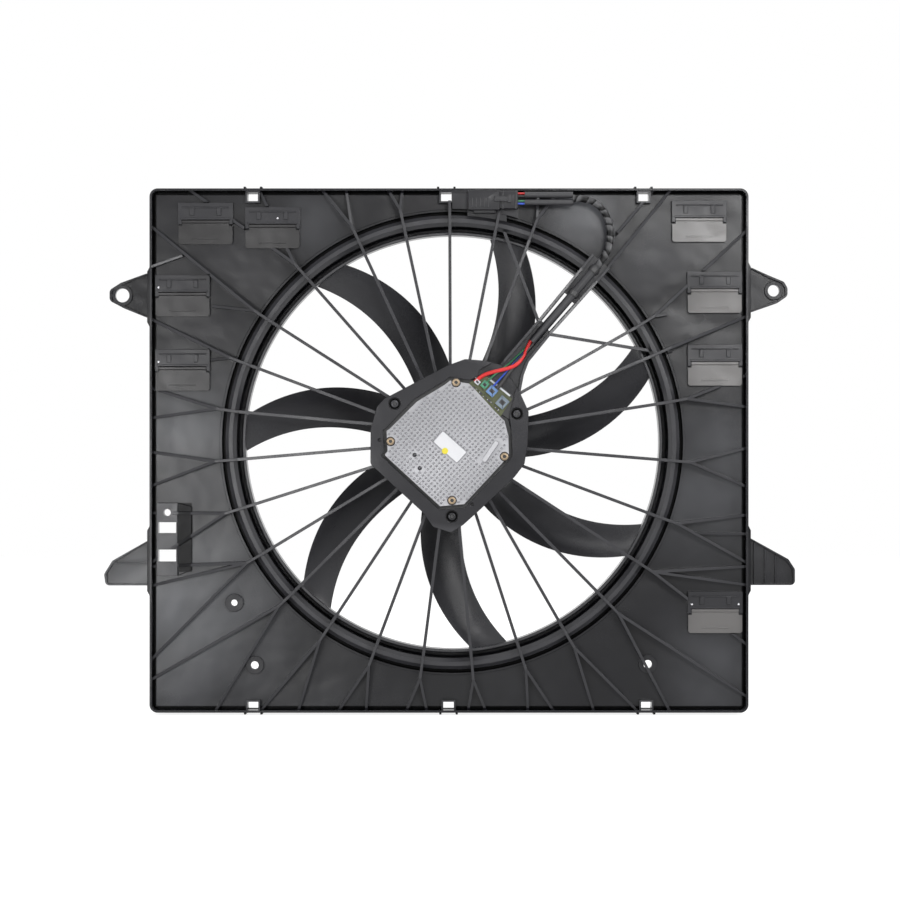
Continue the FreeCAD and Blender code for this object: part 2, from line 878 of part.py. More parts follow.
# Where the spokes and the cable arm cross the lip, they stand on the ring.
def fan_ring():
    crossings = []
    foot = plate_depth - 1
    for hub_angle, ring_angle, ends in spokes:
        start = around(barrel_radius - 3, ring_angle)
        end = around(ring_radius + 3, ring_angle)
        crossings.append(web(start, end, rib_thickness, foot, spoke_top_ring, foot, spoke_top_ring))
    arm_floor = []
    for rail in (left_rail, right_rail):
        end = toward(rail[-2], rail[-1], 1.4)
        crossings.append(web(rail[-2], end, rib_thickness, foot, arm_rail_ring, foot, arm_rail_ring))
        arm_floor.append((rail[-2], end))
    corners = [arm_floor[0][0], arm_floor[0][1], arm_floor[1][1], arm_floor[1][0]]
    cover = prism(corners, lip_crest - 1, arm_floor_near + wall)
    bridge = block(plug_left - 1, plug_middle + 8, barrel_radius - 16, ring_radius + 3,
                   plate_depth - 1, plateau_depth)
    solids = fuse_all(crossings + [cover, bridge])
    solids = solids.common(tube(barrel_radius, ring_radius, 0, beyond))
    hollow = tube(barrel_radius + wall - 0.5, groove_radius - wall + 0.5, 0, lip_crest - wall)
    solids = solids.cut(hollow).cut(plug_room())
    return fuse_all([ring_section(), solids])


# Moves every point of an outline away from the fan axis by the same amount.
def scaled_outline(points, change):
    moved = []
    for x, z in points:
        length = math.hypot(x, z)
        moved.append((x * (length + change) / length, z * (length + change) / length))
    return moved


def mount_points():
    return [around(mount_radius * share, degrees) for degrees, share in mount_outline]


def mount_hole_points():
    points = scaled_outline(cover_outline, mount_gap)
    return points[:3] + tongue_room + points[6:]


def mount_block(near, far):
    return rounded_prism(mount_points(), mount_corner, near, far)


# The ring that the motor is screwed to
def motor_mount():
    cuts = [prism(mount_hole_points(), 0, beyond), prism(cable_mouth, mouth_floor, beyond)]
    for x, z in motor_screws:
        cuts.append(disc(motor_screw_radius + 0.3, 0, beyond, x, z))
        cuts.append(disc(screw_pocket_radius, mount_far - screw_pocket_depth, beyond, x, z))
    for x, z in locating_holes:
        cuts.append(disc(locating_hole_radius, mount_far - screw_pocket_depth, beyond, x, z))
    return mount_block(mount_near, mount_far).cut(Part.makeCompound(cuts)).removeSplitter()


# The channel for the cables: a floor between two rails, from the mount to the ring
def arm_channel():
    floor = left_rail + list(reversed(right_rail))
    solids = [prism(floor, arm_floor_near, arm_floor_near + wall)]
    for rail in (left_rail, right_rail):
        last = len(rail) - 2
        for index in range(last + 1):
            top0 = arm_rail_hub - 2 if index == last else arm_rail_hub
            top1 = arm_rail_ring if index == last else top0
            solids.append(web(rail[index], rail[index + 1], rib_thickness, arm_floor_near, top0,
                              arm_floor_near, top1))
    channel = fuse_all(solids).common(disc(barrel_radius, 0, beyond))
    return channel.cut(mount_block(0, beyond))


def cable_arm():
    cuts = [prism(cable_mouth, mouth_floor, beyond)]
    for rail, side in ((left_rail, 1), (right_rail, -1)):
        slot = [toward(rail[-2], rail[-1], share) for share in (0.03, 0.48)]
        run_x = slot[1][0] - slot[0][0]
        run_z = slot[1][1] - slot[0][1]
        scale = side * arm_slot_gap / math.hypot(run_x, run_z)
        start, end = [(x + run_z * scale, z - run_x * scale) for x, z in slot]
        far = arm_floor_near + wall + 1
        cuts.append(web(start, end, arm_slot_width, 0, far, 0, far))
    return arm_channel().cut(Part.makeCompound(cuts)).removeSplitter()


# The spokes, and two braces that hold the arm, each between the mount or the arm and the ring
def spoke_set():
    foot = (spoke_foot_hub + spoke_foot_ring) / 2
    top = (spoke_top_hub + spoke_top_ring) / 2
    spans = [(around(spoke_start_radius, hub_angle), spoke_foot_hub, spoke_top_hub, ring_angle)
             for hub_angle, ring_angle, ends in spokes]
    spans.append((left_rail[-2], foot, top, left_brace_angle))
    spans.append((right_rail[-2], foot, top, right_brace_angle))
    webs = [web(start, around(barrel_radius + 3, angle), spoke_thickness, near, far,
                spoke_foot_ring, spoke_top_ring) for start, near, far, angle in spans]
    body = fuse_all(webs).common(disc(barrel_radius, 0, beyond))
    return body.cut(mount_block(0, beyond)).cut(arm_channel())


def blade_section(radius):
    share = (radius - hub_radius) / (band_radius - hub_radius)
    share = min(max(share, 0.0), 1.0)
    sweep = -blade_sweep * (1 - share ** sweep_power)
    half = root_half_width + (tip_half_width - root_half_width) * share
    pitch = math.radians(root_pitch + (tip_pitch - root_pitch) * share)
    rise = half * math.tan(pitch)
    chord = 2 * math.hypot(half, rise)
    normal_s = -rise / (chord / 2)
    normal_d = -half / (chord / 2)
    bend = camber_share * chord

    def place(along, off):
        s = half * along + normal_s * off
        d = blade_mid_depth - rise * along + normal_d * off
        turn = math.radians(sweep)
        x = radius * math.cos(turn) - s * math.sin(turn)
        z = radius * math.sin(turn) + s * math.cos(turn)
        return at(x, z, d)

    edge = blade_edge / 2
    thick = blade_thickness / 2
    front = Part.Arc(place(1, edge), place(0, bend + thick), place(-1, edge)).toShape()
    back = Part.Arc(place(-1, -edge), place(0, bend - thick), place(1, -edge)).toShape()
    tail = Part.makeLine(place(-1, edge), place(-1, -edge))
    nose = Part.makeLine(place(1, -edge), place(1, edge))
    return Part.Wire([front, tail, back, nose])


# The hub is a cup over the rotor; four short bevels round its nose.
def hub_cup():
    centre = hub_radius - hub_round
    nose = []
    for index in range(hub_bevels + 1):
        out, up = around(hub_round, 90 - index * 90.0 / hub_bevels)
        nose.append((centre + out, hub_nose_depth + hub_round - up))
    return turned_polygon([(0, hub_nose_depth)] + nose + [
        (hub_radius, hub_end),
        (hub_inner, hub_end),
        (hub_inner, hub_disc_depth),
        (0, hub_disc_depth),
    ])


def hub_screw_places():
    return [around(hub_screw_circle, 45 + index * 360.0 / hub_screw_count)
            for index in range(hub_screw_count)]


def fan_hub():
    cuts = []
    for x, z in hub_screw_places():
        cuts.append(disc(hub_head_radius + 0.6, 0, hub_screw_seat, x, z))
        cuts.append(disc(hub_screw_radius + pin_clearance, 0, hub_disc_depth + 1, x, z))
    return hub_cup().cut(Part.makeCompound(cuts))


def fan_blades():
    first = hub_inner - 4
    last = band_inner + 1.8
    stations = [first + (last - first) * index / blade_spans for index in range(blade_spans + 1)]
    blade = Part.makeLoft([blade_section(radius) for radius in stations], True, True)
    blade = blade.common(disc(band_inner, 0, beyond)).cut(disc(hub_inner, 0, beyond)).cut(hub_cup())
    step = 360.0 / blade_count
    return Part.makeCompound([turn_about_axis(blade, first_tip_angle + index * step)
                              for index in range(blade_count)])


def fan_band():
    return turned_polygon([
        (band_inner, band_start),
        (fan_radius, band_start),
        (fan_radius, band_start + band_thickness),
        (band_radius, band_start + band_thickness),
        (band_radius, band_end),
        (band_inner, band_end),
    ])


def rotor_can():
    start = hub_disc_depth
    outer = rotor_radius
    inner = rotor_radius - rotor_wall
    can = turned([
        ((shaft_radius, start), (outer - 3, start)),
        ((outer - 3, start), (outer, start + 3)),
        ((outer, start + 3), (outer, rotor_end)),
        ((outer, rotor_end), (inner, rotor_end)),
        ((inner, rotor_end), (inner, start + rotor_disc)),
        ((inner, start + rotor_disc), (shaft_radius + 8, start + rotor_disc)),
        ((shaft_radius + 8, start + rotor_disc), (shaft_radius + 8, start + rotor_disc + 4)),
        ((shaft_radius + 8, start + rotor_disc + 4), (shaft_radius, start + rotor_disc + 4)),
        ((shaft_radius, start + rotor_disc + 4), (shaft_radius, start)),
    ])
    cuts = []
    for x, z in hub_screw_places():
        cuts.append(disc(hub_screw_radius + seat_clearance, 0, stator_start, x, z))
    return can.cut(Part.makeCompound(cuts))


def rotor_magnets():
    outer = rotor_radius - rotor_wall - seat_clearance
    inner = outer - magnet_thickness
    ring = tube(inner, outer, stator_start - 2, stator_end + 2)
    step = 360.0 / magnet_count
    slots = []
    for index in range(magnet_count):
        end = around(rotor_radius + 5, index * step)
        start = around(inner - 5, index * step)
        slots.append(web(start, end, magnet_gap, 0, beyond, 0, beyond))
    return ring.cut(Part.makeCompound(slots))


def stator_core():
    reach = rotor_radius - rotor_wall - seat_clearance - magnet_thickness - air_gap
    yoke = tube(tube_radius + seat_clearance, tube_radius + 10, stator_start, stator_end)
    shoe = tube(reach - 3, reach, stator_start, stator_end)
    teeth = []
    slots = []
    for index in range(tooth_count):
        angle = index * 360.0 / tooth_count
        teeth.append(web(around(tube_radius + 8, angle), around(reach - 1.5, angle), tooth_width,
                         stator_start, stator_end, stator_start, stator_end))
        between = angle + 180.0 / tooth_count
        slots.append(web(around(reach - 8, between), around(reach + 5, between), tooth_gap,
                         0, beyond, 0, beyond))
    core = fuse_all([yoke, shoe] + teeth)
    return core.cut(Part.makeCompound(slots))


def stator_windings():
    inner = tube_radius + 11
    outer = rotor_radius - rotor_wall - magnet_thickness - air_gap - 5
    near = stator_start - coil_wall
    far = stator_end + coil_wall
    hole_near = stator_start - pin_clearance
    hole_far = stator_end + pin_clearance
    coils = []
    for index in range(tooth_count):
        angle = index * 360.0 / tooth_count
        coil = web(around(inner, angle), around(outer, angle), tooth_width + 2 * coil_wall,
                   near, far, near, far)
        core = web(around(inner - 1, angle), around(outer + 1, angle),
                   tooth_width + 2 * pin_clearance, hole_near, hole_far, hole_near, hole_far)
        coils.append(coil.cut(core))
    return Part.makeCompound(coils)


# Cast motor base: flange with three lugs, and the tube that holds the bearings and the stator
def motor_base():
    seat = bearing_radius + seat_clearance
    shoulder = bearing_radius - 2
    tube_start = bearing_front - 0.5
    body = turned_polygon([
        (seat, tube_start),
        (tube_radius, tube_start),
        (tube_radius, base_near),
        (base_radius, base_near),
        (base_radius, mount_near),
        (0, mount_near),
        (0, base_near + 1),
        (seat, base_near + 1),
        (seat, bearing_rear),
        (shoulder, bearing_rear),
        (shoulder, bearing_front + bearing_width),
        (seat, bearing_front + bearing_width),
    ])
    solids = [body]
    cuts = []
    for x, z in motor_screws:
        radius = math.hypot(x, z)
        inner = toward((0, 0), (x, z), (base_radius - 12) / radius)
        solids.append(disc(base_lug, base_near, mount_near, x, z))
        solids.append(web(inner, (x, z), 2 * base_lug, base_near, mount_near, base_near, mount_near))
        cuts.append(disc(motor_screw_radius + seat_clearance, 0, mount_near + 1, x, z))
    for x, z in cover_screws:
        cuts.append(disc(cover_screw_radius + seat_clearance, base_near + 1, mount_near + 1, x, z))
    return fuse_all(solids).cut(Part.makeCompound(cuts))


def bearing(start):
    return tube(shaft_radius + seat_clearance, bearing_radius, start, start + bearing_width)


def rotor_shaft():
    start = hub_disc_depth
    rod = disc(shaft_radius - 0.02, start, base_near + 0.6)
    edge = rod.Edges[0]
    return rod.makeChamfer(0.5, [edge])


# A six-sided screw head
def hexagon(radius, near, far, x, z):
    corners = [around(radius, 60 * index) for index in range(6)]
    return prism([(x + out, z + up) for out, up in corners], near, far)


def hub_screws():
    screws = []
    for x, z in hub_screw_places():
        head = hexagon(hub_head_radius, hub_nose_depth + 0.5, hub_screw_seat, x, z)
        shank = disc(hub_screw_radius, hub_screw_seat - 1, hub_disc_depth + rotor_disc, x, z)
        screws.append(head.fuse(shank).removeSplitter())
    return Part.makeCompound(screws)


def motor_screw_set():
    screws = []
    seat = mount_far - screw_pocket_depth
    for x, z in motor_screws:
        head = hexagon(motor_head_radius, seat, seat + motor_head_height, x, z)
        shank = disc(motor_screw_radius, base_near + 0.5, seat + 1, x, z)
        screws.append(head.fuse(shank).removeSplitter())
    return Part.makeCompound(screws)


# The cover is a shallow aluminium casting with four screw bosses cut down below its face.
def controller_cover():
    outer = prism(cover_outline, mount_near, cover_far)
    inner = prism(scaled_outline(cover_outline, -cover_wall - 1), mount_near - 1,
                  cover_far - cover_top)
    shell = outer.cut(inner)
    seat = cover_far - cover_screw_drop
    solids = [shell]
    cuts = []
    for x, z in cover_screws:
        solids.append(disc(cover_head_radius + 0.6, mount_near, seat, x, z))
        cuts.append(disc(cover_head_radius + 1.9, seat, cover_far + 1, x, z))
        cuts.append(disc(cover_screw_radius + seat_clearance, mount_near - 1, seat + 1, x, z))
    cuts.append(prism(tongue_outline, mount_near - 1, board_near + board_thickness + 4))
    return fuse_all(solids).cut(Part.makeCompound(cuts))


def cover_screw_set():
    screws = []
    seat = cover_far - cover_screw_drop
    for x, z in cover_screws:
        head = disc(cover_head_radius, seat, seat + cover_head_height, x, z)
        shank = disc(cover_screw_radius, base_near + 2, seat + 1, x, z)
        screws.append(head.fuse(shank).removeSplitter())
    return Part.makeCompound(screws)


def controller_board():
    far = board_near + board_thickness
    inner = prism(scaled_outline(cover_outline, -cover_wall - board_gap), board_near, far)
    tongue = prism(tongue_outline, board_near, far)
    inner = inner.fuse(tongue)
    holes = [disc(cover_head_radius + 1.6, 0, beyond, x, z) for x, z in cover_screws]
    return inner.cut(Part.makeCompound(holes)).removeSplitter()


# Three capacitors and a row of power transistors
def board_parts():
    far = board_near + board_thickness
    solids = [disc(capacitor_radius, far, far + capacitor_height, x, z) for x, z in capacitor_places]
    for index in range(chip_count):
        x = first_chip[0] + chip_pitch * index
        z = first_chip[1]
        solids.append(block(x, x + chip_length, z, z + chip_width, far, far + chip_height))
    return Part.makeCompound(solids)


# A block turned to lie along the cover's terminal edge
def terminal_block(place):
    x, z, length, width, height = place
    near = board_near + board_thickness
    shape = block(-length / 2, length / 2, -width / 2, width / 2, near, near + height)
    shape = turn_about_axis(shape, terminal_angle)
    shape.translate(FreeCAD.Vector(x, 0, z))
    return shape


# A round cord along straight runs joined by the largest arcs that the runs allow.
def cord(name, route, diameter):
    points = [at(x, z, depth) for x, z, depth in route]
    cuts = [points[0]]
    edges = []
    radii = []
    for index in range(1, len(points) - 1):
        corner = points[index]
        back = points[index - 1] - corner
        ahead = points[index + 1] - corner
        half_turn = (math.pi - back.getAngle(ahead)) / 2
        reach = 0.45 * min(back.Length, ahead.Length)
        radius = reach / math.tan(half_turn)
        back.normalize()
        ahead.normalize()
        inward = back + ahead
        inward.normalize()
        middle = corner + inward * (radius / math.cos(half_turn) - radius)
        start = corner + back * reach
        end = corner + ahead * reach
        edges.append(Part.makeLine(cuts[-1], start))
        edges.append(Part.Arc(start, middle, end).toShape())
        cuts.append(end)
        radii.append(round(radius, 1))
    edges.append(Part.makeLine(cuts[-1], points[-1]))
    path = Part.Wire(edges)
    profile = Part.Wire([Part.makeCircle(diameter / 2, points[0], points[1] - points[0])])
    solid = path.makePipeShell([profile], True, False)
    expected = math.pi * diameter ** 2 / 4 * path.Length
    print(name, "radii", radii, "length", round(path.Length, 1),
          "volume share", round(solid.Volume / expected, 4))
    return solid


# The routes run from the terminals to the mouth of the arm sleeve: x, z and depth.
sleeve_depth = arm_floor_near + wall + arm_sleeve / 2 + 0.1
sleeve_start = (88.0, 111.0, sleeve_depth)
sleeve_end = (160.0, 194.7, sleeve_depth)
terminal_angle = -42.0
entry_run = 12.0
wire_spread = 2.5
signal_spread = 1.2
signal_drop = 3.2


# The last two points of a wire, straight into the sleeve beside its axis
def entry(sideways, drop):
    run_x = sleeve_end[0] - sleeve_start[0]
    run_z = sleeve_end[1] - sleeve_start[1]
    length = math.hypot(run_x, run_z)
    run_x /= length
    run_z /= length
    x = sleeve_start[0] + run_z * sideways
    z = sleeve_start[1] - run_x * sideways
    depth = sleeve_depth - drop
    return [(x - entry_run * run_x, z - entry_run * run_z, depth), (x, z, depth)]


# The first two points of a wire, straight out of the face of its terminal block
def terminal_exit(block_place, sideways, run, depth):
    x, z, length, width, height = block_place
    along_x, along_z = around(1.0, terminal_angle)
    x += along_x * sideways - along_z * width / 2
    z += along_z * sideways + along_x * width / 2
    return [(x, z, depth), (x - along_z * run, z + along_x * run, depth)]


# Terminal blocks: centre, length, width and height
red_block = (27.5, 66.5, 6.0, 5.0, 7.0)
green_block = (35.6, 63.6, 7.0, 8.0, 9.0)
blue_block = (43.6, 56.4, 10.0, 10.0, 10.0)
grey_block = (55.0, 44.0, 11.0, 12.0, 7.0)
red_route = terminal_exit(red_block, 0.0, 9.0, 72.2)
red_route += [(50.0, 79.0, 78.5), (65.0, 90.0, 77.5)]
red_route += entry(-wire_spread, 0.0)
black_route = terminal_exit(blue_block, 2.2, 10.0, 74.5)
black_route += [(63.0, 78.0, 77.0), (72.5, 90.0, 72.5)]
black_route += entry(wire_spread, 0.0)
green_route = terminal_exit(green_block, 0.0, 9.0, 73.0)
green_route += [(55.0, 80.5, 71.5), (67.0, 91.0, 67.5)]
green_route += entry(-signal_spread, signal_drop)
blue_route = terminal_exit(blue_block, -2.5, 9.0, 72.9)
blue_route += [(60.5, 78.5, 70.5), (70.0, 90.0, 66.5)]
blue_route += entry(signal_spread, signal_drop)
loom_route = [
    sleeve_end,
    toward(sleeve_start, sleeve_end, 1.137),
    (174.5, 220.5, 64.1),
    (174.5, 240.3, 58.0),
    (169.8, 254.1, 56.9),
    (159.8, 264.8, 57.0),
    (147.2, 270.25, 57.0),
    (133.5, 270.25, 57.0),
]


# The stub of a wire between the plug and the sleeve it enters
def wire_tail(z):
    start = at(plug_front, z, plug_wire_depth)
    return Part.makeCylinder(signal_wire / 2, tail_length, start, FreeCAD.Vector(1, 0, 0))


def wire(name, route, diameter, tail_z):
    return Part.makeCompound([cord(name, route, diameter), wire_tail(tail_z)])


def straight_tube(start, end, radius):
    begin = at(*start)
    run = at(*end) - begin
    return Part.makeCylinder(radius, run.Length, begin, run)


def plug_sleeves():
    start_x = plug_front + tail_length
    sleeves = []
    for z in (upper_sleeve_z, lower_sleeve_z):
        start = (start_x, z, plug_wire_depth)
        end = (start_x + plug_sleeve_length, z, plug_wire_depth)
        sleeves.append(straight_tube(start, end, plug_sleeve / 2))
    return Part.makeCompound(sleeves)


# Straps over the arm sleeve, each standing on the arm's floor
def cable_ties():
    ties = []
    below = disc(ring_radius, 0, arm_floor_near + wall)
    inner = arm_sleeve / 2 + seat_clearance
    hole = straight_tube(sleeve_start, sleeve_end, inner)
    for share in tie_places:
        start = toward(sleeve_start, sleeve_end, share)
        end = toward(sleeve_start, sleeve_end, share + tie_share)
        band = straight_tube(start, end, inner + tie_wall)
        near = sleeve_depth + inner
        far = near + tie_head_height
        head = web(start[:2], end[:2], tie_head_width, near, far, near, far)
        ties.append(band.fuse(head).cut(hole).cut(below).removeSplitter())
    return Part.makeCompound(ties)


# The plug: a back half, a lower nose where the wires enter, and a shelf under its edge
def plug_housing():
    far = plateau_depth + plug_depth
    back = block(plug_left, plug_middle, plug_low, plug_high, plateau_depth, far)
    nose = block(plug_middle, plug_front, plug_low + 1.5, plug_high - 1.2, plateau_depth, far - 2)
    shelf = block(plug_left + 6, plug_middle - 4, plug_low - shelf_drop, plug_low, plateau_depth,
                  plateau_depth + 9)
    return fuse_all([back, nose, shelf])


def plug_latch():
    far = plateau_depth + plug_depth
    high = plug_high - 7
    low = high - latch_width
    arm = block(plug_middle - 6, plug_middle + 13, low, high, far, far + latch_thickness)
    thumb = block(plug_middle + 9, plug_middle + 13, low - 1.5, high + 1.5, far, far + 4)
    return fuse_all([arm, thumb])


def terminal_guard():
    near = board_near + board_thickness
    far = near + guard_height
    return web(guard_ends[0], guard_ends[1], guard_thickness, near, far, near, far)


def save_parts():
    os.makedirs("parts", exist_ok=True)
    total = 0
    total += save("shroud_panel", shroud_panel())
    total += save("left_ear", left_ear())
    total += save("right_ear", right_ear())
    total += save("left_tab", left_tab())
    total += save("right_tab", right_tab())
    total += save("fan_ring", fan_ring())
    total += save("motor_mount", motor_mount())
    total += save("cable_arm", cable_arm())
    total += save("spokes", spoke_set())
    total += save("fan_hub", fan_hub())
    total += save("fan_blades", fan_blades())
    total += save("fan_band", fan_band())
    total += save("rotor_can", rotor_can())
    total += save("rotor_magnets", rotor_magnets())
    total += save("rotor_shaft", rotor_shaft())
    total += save("hub_screws", hub_screws())
    total += save("motor_base", motor_base())
    total += save("stator_core", stator_core())
    total += save("stator_windings", stator_windings())
    total += save("radiator_side_bearing", bearing(bearing_front))
    total += save("engine_side_bearing", bearing(bearing_rear))
    total += save("motor_screws", motor_screw_set())
    total += save("controller_cover", controller_cover())
    total += save("cover_screws", cover_screw_set())
    total += save("controller_board", controller_board())
    total += save("board_parts", board_parts())
    total += save("terminal_red", terminal_block(red_block))
    total += save("terminal_green", terminal_block(green_block))
    total += save("terminal_blue", terminal_block(blue_block))
    total += save("terminal_grey", terminal_block(grey_block))
    total += save("terminal_guard", terminal_guard())
    upper_tail = upper_sleeve_z + tail_spread
    lower_tail = lower_sleeve_z + tail_spread
    total += save("wire_red", wire("wire_red", red_route, power_wire, upper_tail))
    total += save("wire_black", wire("wire_black", black_route, power_wire, upper_tail - 2 * tail_spread))
    total += save("wire_green", wire("wire_green", green_route, signal_wire, lower_tail))
    total += save("wire_blue", wire("wire_blue", blue_route, signal_wire, lower_tail - 2 * tail_spread))
    total += save("arm_sleeve", straight_tube(sleeve_start, sleeve_end, arm_sleeve / 2))
    total += save("taped_loom", cord("taped_loom", loom_route, loom_diameter))
    total += save("plug_sleeves", plug_sleeves())
    total += save("cable_ties", cable_ties())
    total += save("plug_housing", plug_housing())
    total += save("plug_latch", plug_latch())
    for number, (x, z) in enumerate(flap_centres(), 1):
        total += save("flap_" + str(number), flap_leaf(x, z))
    print("triangles in all", total)


save_parts()
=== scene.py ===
import json
import math
import bmesh
import bpy
import numpy as np
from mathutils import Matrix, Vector


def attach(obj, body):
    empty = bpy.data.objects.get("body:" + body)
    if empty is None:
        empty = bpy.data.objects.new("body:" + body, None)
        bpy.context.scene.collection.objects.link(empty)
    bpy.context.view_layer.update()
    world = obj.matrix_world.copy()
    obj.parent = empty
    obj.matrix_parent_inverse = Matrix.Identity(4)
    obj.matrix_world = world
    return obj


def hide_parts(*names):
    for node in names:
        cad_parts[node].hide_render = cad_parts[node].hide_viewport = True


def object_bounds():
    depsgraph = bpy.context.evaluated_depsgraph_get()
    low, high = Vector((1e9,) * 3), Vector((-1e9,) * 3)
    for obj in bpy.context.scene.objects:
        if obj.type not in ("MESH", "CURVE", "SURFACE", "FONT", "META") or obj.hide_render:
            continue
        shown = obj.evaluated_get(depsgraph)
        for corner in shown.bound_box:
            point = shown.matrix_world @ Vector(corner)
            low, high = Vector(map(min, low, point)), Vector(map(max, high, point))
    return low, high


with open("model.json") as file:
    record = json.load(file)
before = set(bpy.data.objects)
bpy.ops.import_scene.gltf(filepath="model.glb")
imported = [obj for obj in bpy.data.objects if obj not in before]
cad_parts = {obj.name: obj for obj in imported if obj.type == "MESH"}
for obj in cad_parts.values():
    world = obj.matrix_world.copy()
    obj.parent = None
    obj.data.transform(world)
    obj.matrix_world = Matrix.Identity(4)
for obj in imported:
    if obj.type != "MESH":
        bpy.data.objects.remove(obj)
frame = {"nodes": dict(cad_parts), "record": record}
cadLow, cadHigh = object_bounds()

# Radiator cooling fan, dressed for the camera. Metres; X right, Z up, the engine side faces -Y.
# A depth is measured from the radiator plane towards the engine, so depth d lies at y = -d.
mm = 0.001
scene = bpy.context.scene
print("frame loaded,", len(frame["nodes"]), "nodes")


# Small maths on node sockets: an expression on wrapped sockets adds its Math nodes.
class Socket:
    def __init__(self, tree, socket):
        self.tree = tree
        self.socket = socket

    def step(self, operation, other=None, flip=False):
        node = self.tree.nodes.new("ShaderNodeMath")
        node.operation = operation
        pair = [other, self] if flip else [self, other]
        for index, value in enumerate(pair):
            if isinstance(value, Socket):
                self.tree.links.new(value.socket, node.inputs[index])
            elif value is not None:
                node.inputs[index].default_value = value
        return Socket(self.tree, node.outputs[0])

    def __add__(self, other):
        return self.step("ADD", other)

    def __radd__(self, other):
        return self.step("ADD", other, True)

    def __sub__(self, other):
        return self.step("SUBTRACT", other)

    def __rsub__(self, other):
        return self.step("SUBTRACT", other, True)

    def __mul__(self, other):
        return self.step("MULTIPLY", other)

    def __rmul__(self, other):
        return self.step("MULTIPLY", other, True)

    def __truediv__(self, other):
        return self.step("DIVIDE", other)

    def __rtruediv__(self, other):
        return self.step("DIVIDE", other, True)

    def size(self):
        return self.step("ABSOLUTE")

    def root(self):
        return self.step("SQRT")

    def most(self, other):
        return self.step("MAXIMUM", other)

    def clipped(self):
        return self.step("MINIMUM", 1.0).most(0.0)

    # 0 at the first level, 1 at the second and even in between; the levels may also fall
    def share(self, levels):
        start, end = levels
        return (self - start) / (end - start)

    def ramp(self, levels):
        return self.share(levels).clipped()


# The nodes of one tree. Each comes from one method: its type, its settings, and then the values
# or links of its sockets, by number or by name.
class Nodes:
    def __init__(self, tree):
        self.tree = tree

    def node(self, kind, settings=None, numbered=None, **named):
        made = self.tree.nodes.new(kind)
        for key, value in (settings or {}).items():
            setattr(made, key, value)
        for key, value in {**(numbered or {}), **named}.items():
            self.feed(made, key, value)
        return made

    def feed(self, node, key, value):
        target = node.inputs[key.replace("_", " ") if isinstance(key, str) else key]
        if isinstance(value, Socket):
            value = value.socket
        if isinstance(value, bpy.types.NodeSocket):
            self.tree.links.new(value, target)
        elif target.type == "RGBA":
            target.default_value = (*value, 1)
        else:
            target.default_value = value

    def read(self, node, output):
        return Socket(self.tree, node.outputs[output])

    # 1 for the rays that show a background: the camera's own, and those off gloss or through glass
    def seenRays(self):
        path = self.node("ShaderNodeLightPath")
        kinds = ("Is Camera Ray", "Is Glossy Ray", "Is Transmission Ray")
        return sum(self.read(path, kind) for kind in kinds).clipped()


# One material and the nodes that it is made of
class Finish(Nodes):
    def __init__(self, name):
        self.material = bpy.data.materials.new(name)
        self.material.use_nodes = True
        super().__init__(self.material.node_tree)
        self.shader = self.tree.nodes["Principled BSDF"]

    def coords(self):
        return self.node("ShaderNodeTexCoord").outputs["Object"]

    def noise(self, scale, detail=3.0, rough=0.6):
        made = self.node("ShaderNodeTexNoise", Vector=self.coords(), Scale=scale, Detail=detail,
                         Roughness=rough)
        return self.read(made, 0)

    # A point's place in millimetres: across, depth from the radiator plane, and height
    def axes(self):
        split = self.node("ShaderNodeSeparateXYZ", Vector=self.coords())
        return [self.read(split, index) * way for index, way in enumerate((1 / mm, -1 / mm, 1 / mm))]

    def blend(self, mask, under, over):
        return self.node("ShaderNodeMix", {"data_type": "RGBA"}, {0: mask, 6: under, 7: over}).outputs[2]

    def bump(self, height, strength, distance, under=None):
        below = {} if under is None else {"Normal": under}
        made = self.node("ShaderNodeBump", Height=height, Strength=strength, Distance=distance, **below)
        return made.outputs[0]

    # Painted shade: where the mask is 1, nothing is left but a matt black that stands in for the shade
    # deep in a groove.
    def paintShade(self, mask):
        dull = self.node("ShaderNodeBsdfPrincipled", Base_Color=(0.002, 0.002, 0.002), Roughness=0.9,
                         Specular_IOR_Level=0.0)
        either = self.node("ShaderNodeMixShader", None,
                           {0: mask, 1: self.shader.outputs[0], 2: dull.outputs[0]})
        self.feed(self.tree.nodes["Material Output"], "Surface", either.outputs[0])

    def edges(self, radius):
        return self.node("ShaderNodeBevel", {"samples": 4}, Radius=radius).outputs[0]

    def set(self, **values):
        for key, value in values.items():
            self.feed(self.shader, key, value)
        return self.material


def polar(radius, degrees):
    return radius * math.cos(math.radians(degrees)), radius * math.sin(math.radians(degrees))


# In millimetres: the plate inside the groove at its edge, and the motor's screws
plateLook = {"middle": (-3.9, -9.2), "half": (327.0, 285.0), "rim": (0.0, 2.0)}
motorPlaces = [polar(76.8, 146.3), polar(77.8, 23.9), polar(82.0, 269.6)]

# Painted sheen: paler round spots where glossy reflections lie on the plate: across, up, radius and strength
sheenSpotLook = {
    "tone": (0.115, 0.118, 0.128), "depth": (36.0, 34.0), "flowShare": 1.4, "least": 0.3,
    "spots": [(-300, -190, 150, 1.0), (-315, 30, 90, 0.5), (-235, 0, 120, 0.4), (-150, 245, 60, 0.35),
              (145, 255, 55, 0.7), (205, 205, 60, 0.12), (285, -50, 130, 0.6), (300, -250, 100, 0.4),
              (20, -275, 130, 0.12), (-160, -270, 110, 0.1)],
}

# Where painted shade makes the shroud a matt black; each pair holds the levels between which that
# begins or ends.
grooveLook = {
    "panel": ((0.0, 1.5), (7.5, 6.5)), "rim": ((5.5, 6.0), (9.0, 8.7)), "rimShare": 0.5,
    "ring": 255.0, "ringHalf": (3.5, 2.5), "depth": (32.0, 29.0),
    "flank": (-297.5, -106.0), "flankWidth": (7.5, 6.5), "flankHeight": (39.0, 38.0),
    "flankDepth": (26.0, 27.0), "flankShare": 0.8, "well": (6.6, 5.6), "share": 0.85,
}
